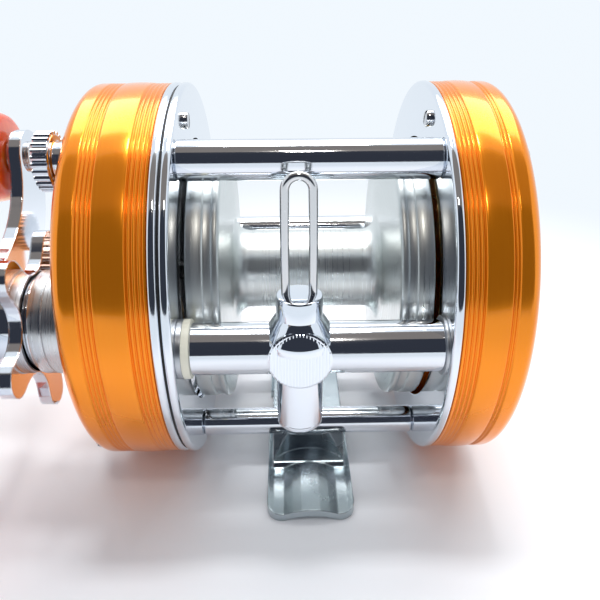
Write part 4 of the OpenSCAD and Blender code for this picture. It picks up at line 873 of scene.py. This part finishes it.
half = spool_side()
spool_outline = half + [(r, -x) for r, x in reversed(half)][:-1]
spool_metal = metal("spool_aluminium", (0.72, 0.75, 0.74), 0.24, 0.1, 0.02,
                    lathe=((0, 0, foot_to_axis), 11000, 0.000006, 0.14), size=50)
spool = turned("spool_turned", spool_outline, (0, *spool_axis), segments=256)
place(spool, "spool_body", "spool_aluminium", spool_metal, "spool")
bright_steel = metal("ground_steel", (0.6, 0.61, 0.63), 0.16, 0.1, 0.03,
                     lathe=((0, 0, foot_to_axis), 6000, 0.000002, 0.08))
dress(bright_steel, "spool_shaft", "spool_bearings")

# ------------------------------------------------------------------ foot
# Stamped brass with dished tips and a raised bridge, satin nickel and chrome plated.
# Four rivets hold it to the lower pillars.
satin_chrome = metal("satin_chrome", (0.47, 0.53, 0.56), 0.2, 0.12, 0.03, cast=0.000012, size=90,
                     edge=0.00035)
dress(satin_chrome, "foot")
rivet_steel = metal("rivet_steel", (0.62, 0.63, 0.65), 0.22, 0.12, 0.04, edge=0.0002)
dress(rivet_steel, "foot_rivets")

# ------------------------------------------------------------------ slotted screws
# Small turned steel screws, nickel plated: two in the side rings, four in the palm cover's pockets.
# Two more hold the knobs on their spindles, and one the nut's keeper.
screw_steel = metal("screw_steel", (0.66, 0.67, 0.69), 0.14, 0.12, 0.08, size=300)


def slotted(name, r, h, at, facing, slot_turn):
    """A slotted head that stands on a point and faces along X (1 or -1), in millimetres."""
    x, y, z = at
    outline = [(0, x - 0.05 * facing), (r, x - 0.05 * facing), (r, x + h * 0.55 * facing),
               (r * 0.93, x + h * 0.8 * facing), (r * 0.7, x + h * 0.95 * facing), (0, x + h * facing)]
    head = turned(name, outline, (0, y, z), segments=48)
    slot = box_cutter((x + (h - 0.35) * facing, x + (h + 1) * facing), (-0.2, 0.2), (-r - 1, r + 1))
    slot.data.transform(Matrix.Rotation(math.radians(slot_turn), 4, "X"))
    slot.data.transform(Matrix.Translation((0, y * MM, z * MM)))
    return cut(head, finish_mesh(slot))


def shank(r, x0, x1, yz):
    return tube("shank", 0, r, min(x0, x1), max(x0, x1), (0, *yz), segments=32)


screw_turns = (25, -40, 70, 10)
ring_faces = span("palm_ring")[0]
shank_end = ring_faces + 1.25
plate_at = at_polar(plate_screw_angle, pillar_r)
screws = [slotted("head", 1.2, 0.75, (side * ring_faces, *plate_at), -side, 20 * side) for side in (-1, 1)]
screws += [shank(0.77, side * ring_faces, side * shank_end, plate_at) for side in (-1, 1)]
place(merged("plate_screws_steel", *screws), "frame", "screw_steel", screw_steel, "plate_screws")
screws = []
for yz, slot_turn in zip(palm_screw_places, screw_turns):
    screws.append(slotted("head", 1.35, 1.25, (palm_face - screw_sink, *yz), 1, slot_turn))
    screws.append(shank(0.8, palm_rim, palm_face - screw_sink, yz))
place(merged("cover_screws_steel", *screws), "frame", "screw_steel", screw_steel, "cover_screws")

# ------------------------------------------------------------------ thumb screws and tension cap
# Knurled thumb screws hold the handle side cover, so that it comes off without tools.
# The knurled cap over the spool shaft's end presses on it. All are turned brass, chrome plated.
knurled_chrome = metal("knurled_chrome", (0.77, 0.8, 0.85), 0.07, 0.1, 0.05, size=200)
knurling, given, gives = new_tree("knurled_band", [
    ("Ridges", WHOLE, 26), ("Radius", FLOAT, 0.004), ("Ridge Radius", FLOAT, 0.0003),
    ("Length", FLOAT, 0.002), ("Middle", PLACE, (0, 0, 0)), ("Finish", FINISH, None)])
ridge_r = given.outputs["Ridge Radius"]
round_it = add(knurling, "GeometryNodeMeshCircle", [
    ("Vertices", given.outputs["Ridges"]),
    ("Radius", maths(knurling, "SUBTRACT", given.outputs["Radius"], ridge_r))])
ridge = add(knurling, "GeometryNodeMeshCylinder", [
    ("Vertices", 8), ("Radius", ridge_r), ("Depth", given.outputs["Length"])], fill_type="NGON")
stood = add(knurling, "GeometryNodeInstanceOnPoints", [
    ("Points", round_it.outputs[0]), ("Instance", ridge.outputs["Mesh"])])
laid = add(knurling, "GeometryNodeTransform", [
    ("Geometry", stood.outputs[0]), ("Rotation", (0, math.pi / 2, 0))])
join_up(knurling, laid.outputs[0], given, gives)


def knurled(name, count, r, ridge_r, x0, x1, yz):
    return grown(name, knurling, Ridges=count, Radius=r * MM, Ridge_Radius=ridge_r * MM,
                 Length=(x1 - x0) * MM, Middle=((x0 + x1) / 2 * MM, yz[0] * MM, yz[1] * MM), Finish=knurled_chrome)


thumb_r, thumb_neck_r, thumb_head, thumb_stand = 4.0, 2.6, 2.2, 0.6
stem_r = 1.1
thumb_back = -handle_face - thumb_stand
thumb_front = thumb_back - thumb_head
thumbs = []
for side in ("top", "rear", "low"):
    yz = at_polar(pillar_angles[side], pillar_r)
    core_r = thumb_r - 0.3
    thumbs.append(turned("thumb", [
        (0, thumb_front - 0.5), (1.9, thumb_front - 0.4), (core_r - 0.35, thumb_front),
        (core_r, thumb_front + 0.2), (core_r, thumb_back - 0.2), (core_r - 0.3, thumb_back),
        (thumb_neck_r + 0.25, thumb_back),
        (thumb_neck_r, thumb_back + 0.15), (thumb_neck_r, thumb_back + 1.2), (stem_r, thumb_back + 1.2),
        (stem_r, -face_x + 4), (0, -face_x + 4)], (0, *yz), segments=96, soft=0.05))
    thumbs.append(knurled("knurls", 26, thumb_r, 0.34, thumb_front + 0.1, thumb_back - 0.1, yz))
place(merged("thumb_screws_chrome", *thumbs), "frame", "knurled_chrome", knurled_chrome, "thumb_screws")

cap_left, cap_right = span("tension_cap")
cap_r = 6.4
cap_core = turned("tension_cap_core", [
    (0, cap_left), (cap_r - 1.3, cap_left), (cap_r - 0.5, cap_left + 0.2), (cap_r - 0.28, cap_left + 0.5),
    (cap_r - 0.28, cap_right - 1.0), (cap_r - 0.8, cap_right - 0.8), (cap_r - 0.8, cap_right),
    (cap_tube_r + 0.06, cap_right), (cap_tube_r + 0.06, cap_left + 1.2), (0, cap_left + 1.2)
], (0, *spool_axis), segments=128, soft=0.06)
cap_knurls = knurled("knurls", 30, cap_r, 0.4, cap_left + 0.45, cap_right - 1.0, spool_axis)
tension_cap = merged("tension_cap_chrome", cap_core, cap_knurls)
place(tension_cap, "tension", "knurled_chrome", knurled_chrome, "tension_cap")

# ------------------------------------------------------------------ thumb button
# The ribbed push button that frees the spool, cast and chrome plated, in its slot at the back.
button_chrome = metal("button_chrome", (0.74, 0.77, 0.81), 0.12, 0.12, 0.05, size=200, edge=0.0003)
dress(button_chrome, "thumb_button")

# ------------------------------------------------------------------ drive sleeve
# A turned aluminium sleeve around the drive shaft, brushed round, with an open lip towards the star wheel.
# It is pressed into the cover and holds the one-way bearing.
brushed = metal("brushed_aluminium", (0.72, 0.72, 0.73), 0.2, 0.1, 0.03,
                lathe=((0, drive_axis[0] * MM, drive_axis[1] * MM), 9000, 0.000007, 0.16), size=120)
sleeve_r, sleeve_seat_r, sleeve_bore_r, lip_bore_r = 7.7, 6.5, 4.63, 7.25
sleeve_end, sleeve_back = span("boss_sleeve")
lip_skin = [(0, 2.18), (0.12, 2.12), (0.3, 2.04), (0.3, 1.96), (0.1, 1.86), (0.08, 0.25),
            (0.14, 0.06), (0.26, 0)]
sleeve = turned("boss_sleeve_brushed", [
    (sleeve_bore_r, sleeve_back), (sleeve_seat_r, sleeve_back), (sleeve_seat_r, -handle_face),
    (sleeve_r, -handle_face), *((sleeve_r - sunk, sleeve_end + back) for sunk, back in lip_skin),
    (lip_bore_r + 0.02, sleeve_end), (lip_bore_r, sleeve_end + 0.1), (lip_bore_r, sleeve_end + 1.9),
    (sleeve_bore_r, sleeve_end + 1.9)
], (0, *drive_axis), segments=192)
place(sleeve, "frame", "brushed_metal", brushed, "boss_sleeve")

# ------------------------------------------------------------------ star wheel and handle
# The star wheel, the double handle, its nut and the nut's keeper: brass, polished and chrome plated.
# Polishing has rounded their edges.
handle_chrome = metal("handle_chrome", (0.79, 0.82, 0.87), 0.045, 0.08, 0.05, size=60, edge=0.0004)
dress(handle_chrome, "star_wheel", "handle_arm", "nut_keeper", "handle_nut")
spindle_steel = metal("spindle_steel", (0.58, 0.59, 0.61), 0.2, 0.1, 0.05, edge=0.0002)
dress(spindle_steel, "knob_spindles")
dress(screw_steel, "knob_screws")

# ------------------------------------------------------------------ knobs
# Two torpedo knobs turned from cast acrylic with pearl flakes, orange red with yellow swirls, polished.
# Each turns on a steel spindle that is riveted into the arm.
def pearl(name):
    material, tree = new_material(name)
    where = add(tree, "ShaderNodeTexCoord").outputs["Object"]
    swirl = add(tree, "ShaderNodeTexNoise", [
        ("Vector", where), ("Scale", 90.0), ("Detail", 3.0), ("Distortion", 1.6)])
    tones = add(tree, "ShaderNodeValToRGB", [("Fac", swirl.outputs["Fac"])])
    ramp = tones.color_ramp.elements
    ramp[0].position, ramp[0].color = 0.3, (0.62, 0.03, 0.004, 1)
    ramp[1].position, ramp[1].color = 0.72, (1.0, 0.42, 0.04, 1)
    ramp.new(0.46).color = (0.86, 0.075, 0.006, 1)
    ramp.new(0.58).color = (0.95, 0.16, 0.01, 1)
    flakes = add(tree, "ShaderNodeTexVoronoi", [("Vector", where), ("Scale", 2600.0)])
    pick = add(tree, "ShaderNodeSeparateColor", [(0, flakes.outputs["Color"])]).outputs[0]
    return surfaced(material, [
        ("Roughness", 0.28), ("Coat Weight", 1.0), ("Coat Roughness", 0.04), ("Subsurface Weight", 0.25),
        ("Subsurface Scale", 0.003), ("Subsurface Radius", (1.0, 0.35, 0.1)),
        ("Metallic", spread(tree, pick, 0.75, 1.0, 0.0, 0.35)), ("Base Color", tones.outputs["Color"])])


pearl_orange = pearl("pearl_orange")
knob_len, knob_dip, knob_bore_r, knob_well_r = 19.0, 2.6, 1.66, 3.0
for side in ("rear", "front"):
    node = side + "_knob"
    low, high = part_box(node)
    knob_r = (high.z - low.z) / 2 / MM
    root = high.x / MM
    yz = ((low.y + high.y) / 2 / MM, (low.z + high.z) / 2 / MM)
    skin = [(knob_bore_r, 0), (knob_r * 0.8, 0), (knob_r * 0.85, 0.08), (knob_r * 0.9, 0.35)]
    skin += arc((knob_r * 0.9, 4.2), (knob_r * 0.1, 3.6), -70, 0, 7)
    skin += [(knob_r, 4.2 + (knob_len - 10.7) * k / 6) for k in range(1, 6)]
    skin += arc((knob_r * 0.78, knob_len - 6.5), (knob_r * 0.22, 6.5), 0, 78, 6)
    skin += [(knob_well_r + 0.3, knob_len - 0.03), (knob_well_r, knob_len - 0.3),
             (knob_well_r, knob_len - knob_dip), (knob_bore_r, knob_len - knob_dip)]
    knob = turned(node + "_pearl", [(r, root - d) for r, d in skin], (0, *yz), segments=128, sharp=30)
    place(knob, "knob_" + side, "pearl_knob", pearl_orange, node)

# ------------------------------------------------------------------ inner works
# Gears, bearings, brakes and springs behind the covers: cut brass and steel, moulded plastic and fibre.
brass = metal("cut_brass", (0.78, 0.56, 0.24), 0.22, 0.12, 0.05, cast=0.000002, size=150)
dress(brass, "brake_ring", "pinion", "main_gear")
bronze = metal("bronze", (0.62, 0.4, 0.2), 0.25, 0.12, 0.05, cast=0.000002, size=150)
dress(bronze, "drive_bush", "tension_shims", "guide_pawl", "star_spring")
tool_steel = metal("tool_steel", (0.52, 0.53, 0.55), 0.2, 0.12, 0.04, size=150, edge=0.00015)
dress(tool_steel, "one_way_bearing", "clutch_yoke", "yoke_springs", "worm", "drive_shaft", "clutch_sleeve")
dress(ivory, "worm_gear", "wind_gear")
dress(plain("black_nylon", (0.02, 0.02, 0.022), 0.4, 0.2, 0.00001), "brake_hub")
dress(plain("red_nylon", (0.55, 0.03, 0.02), 0.42, 0.2, 0.00001), "brake_blocks")
dress(plain("drag_fibre", (0.05, 0.048, 0.045), 0.7, 0.4, 0.00003), "drag_washers")
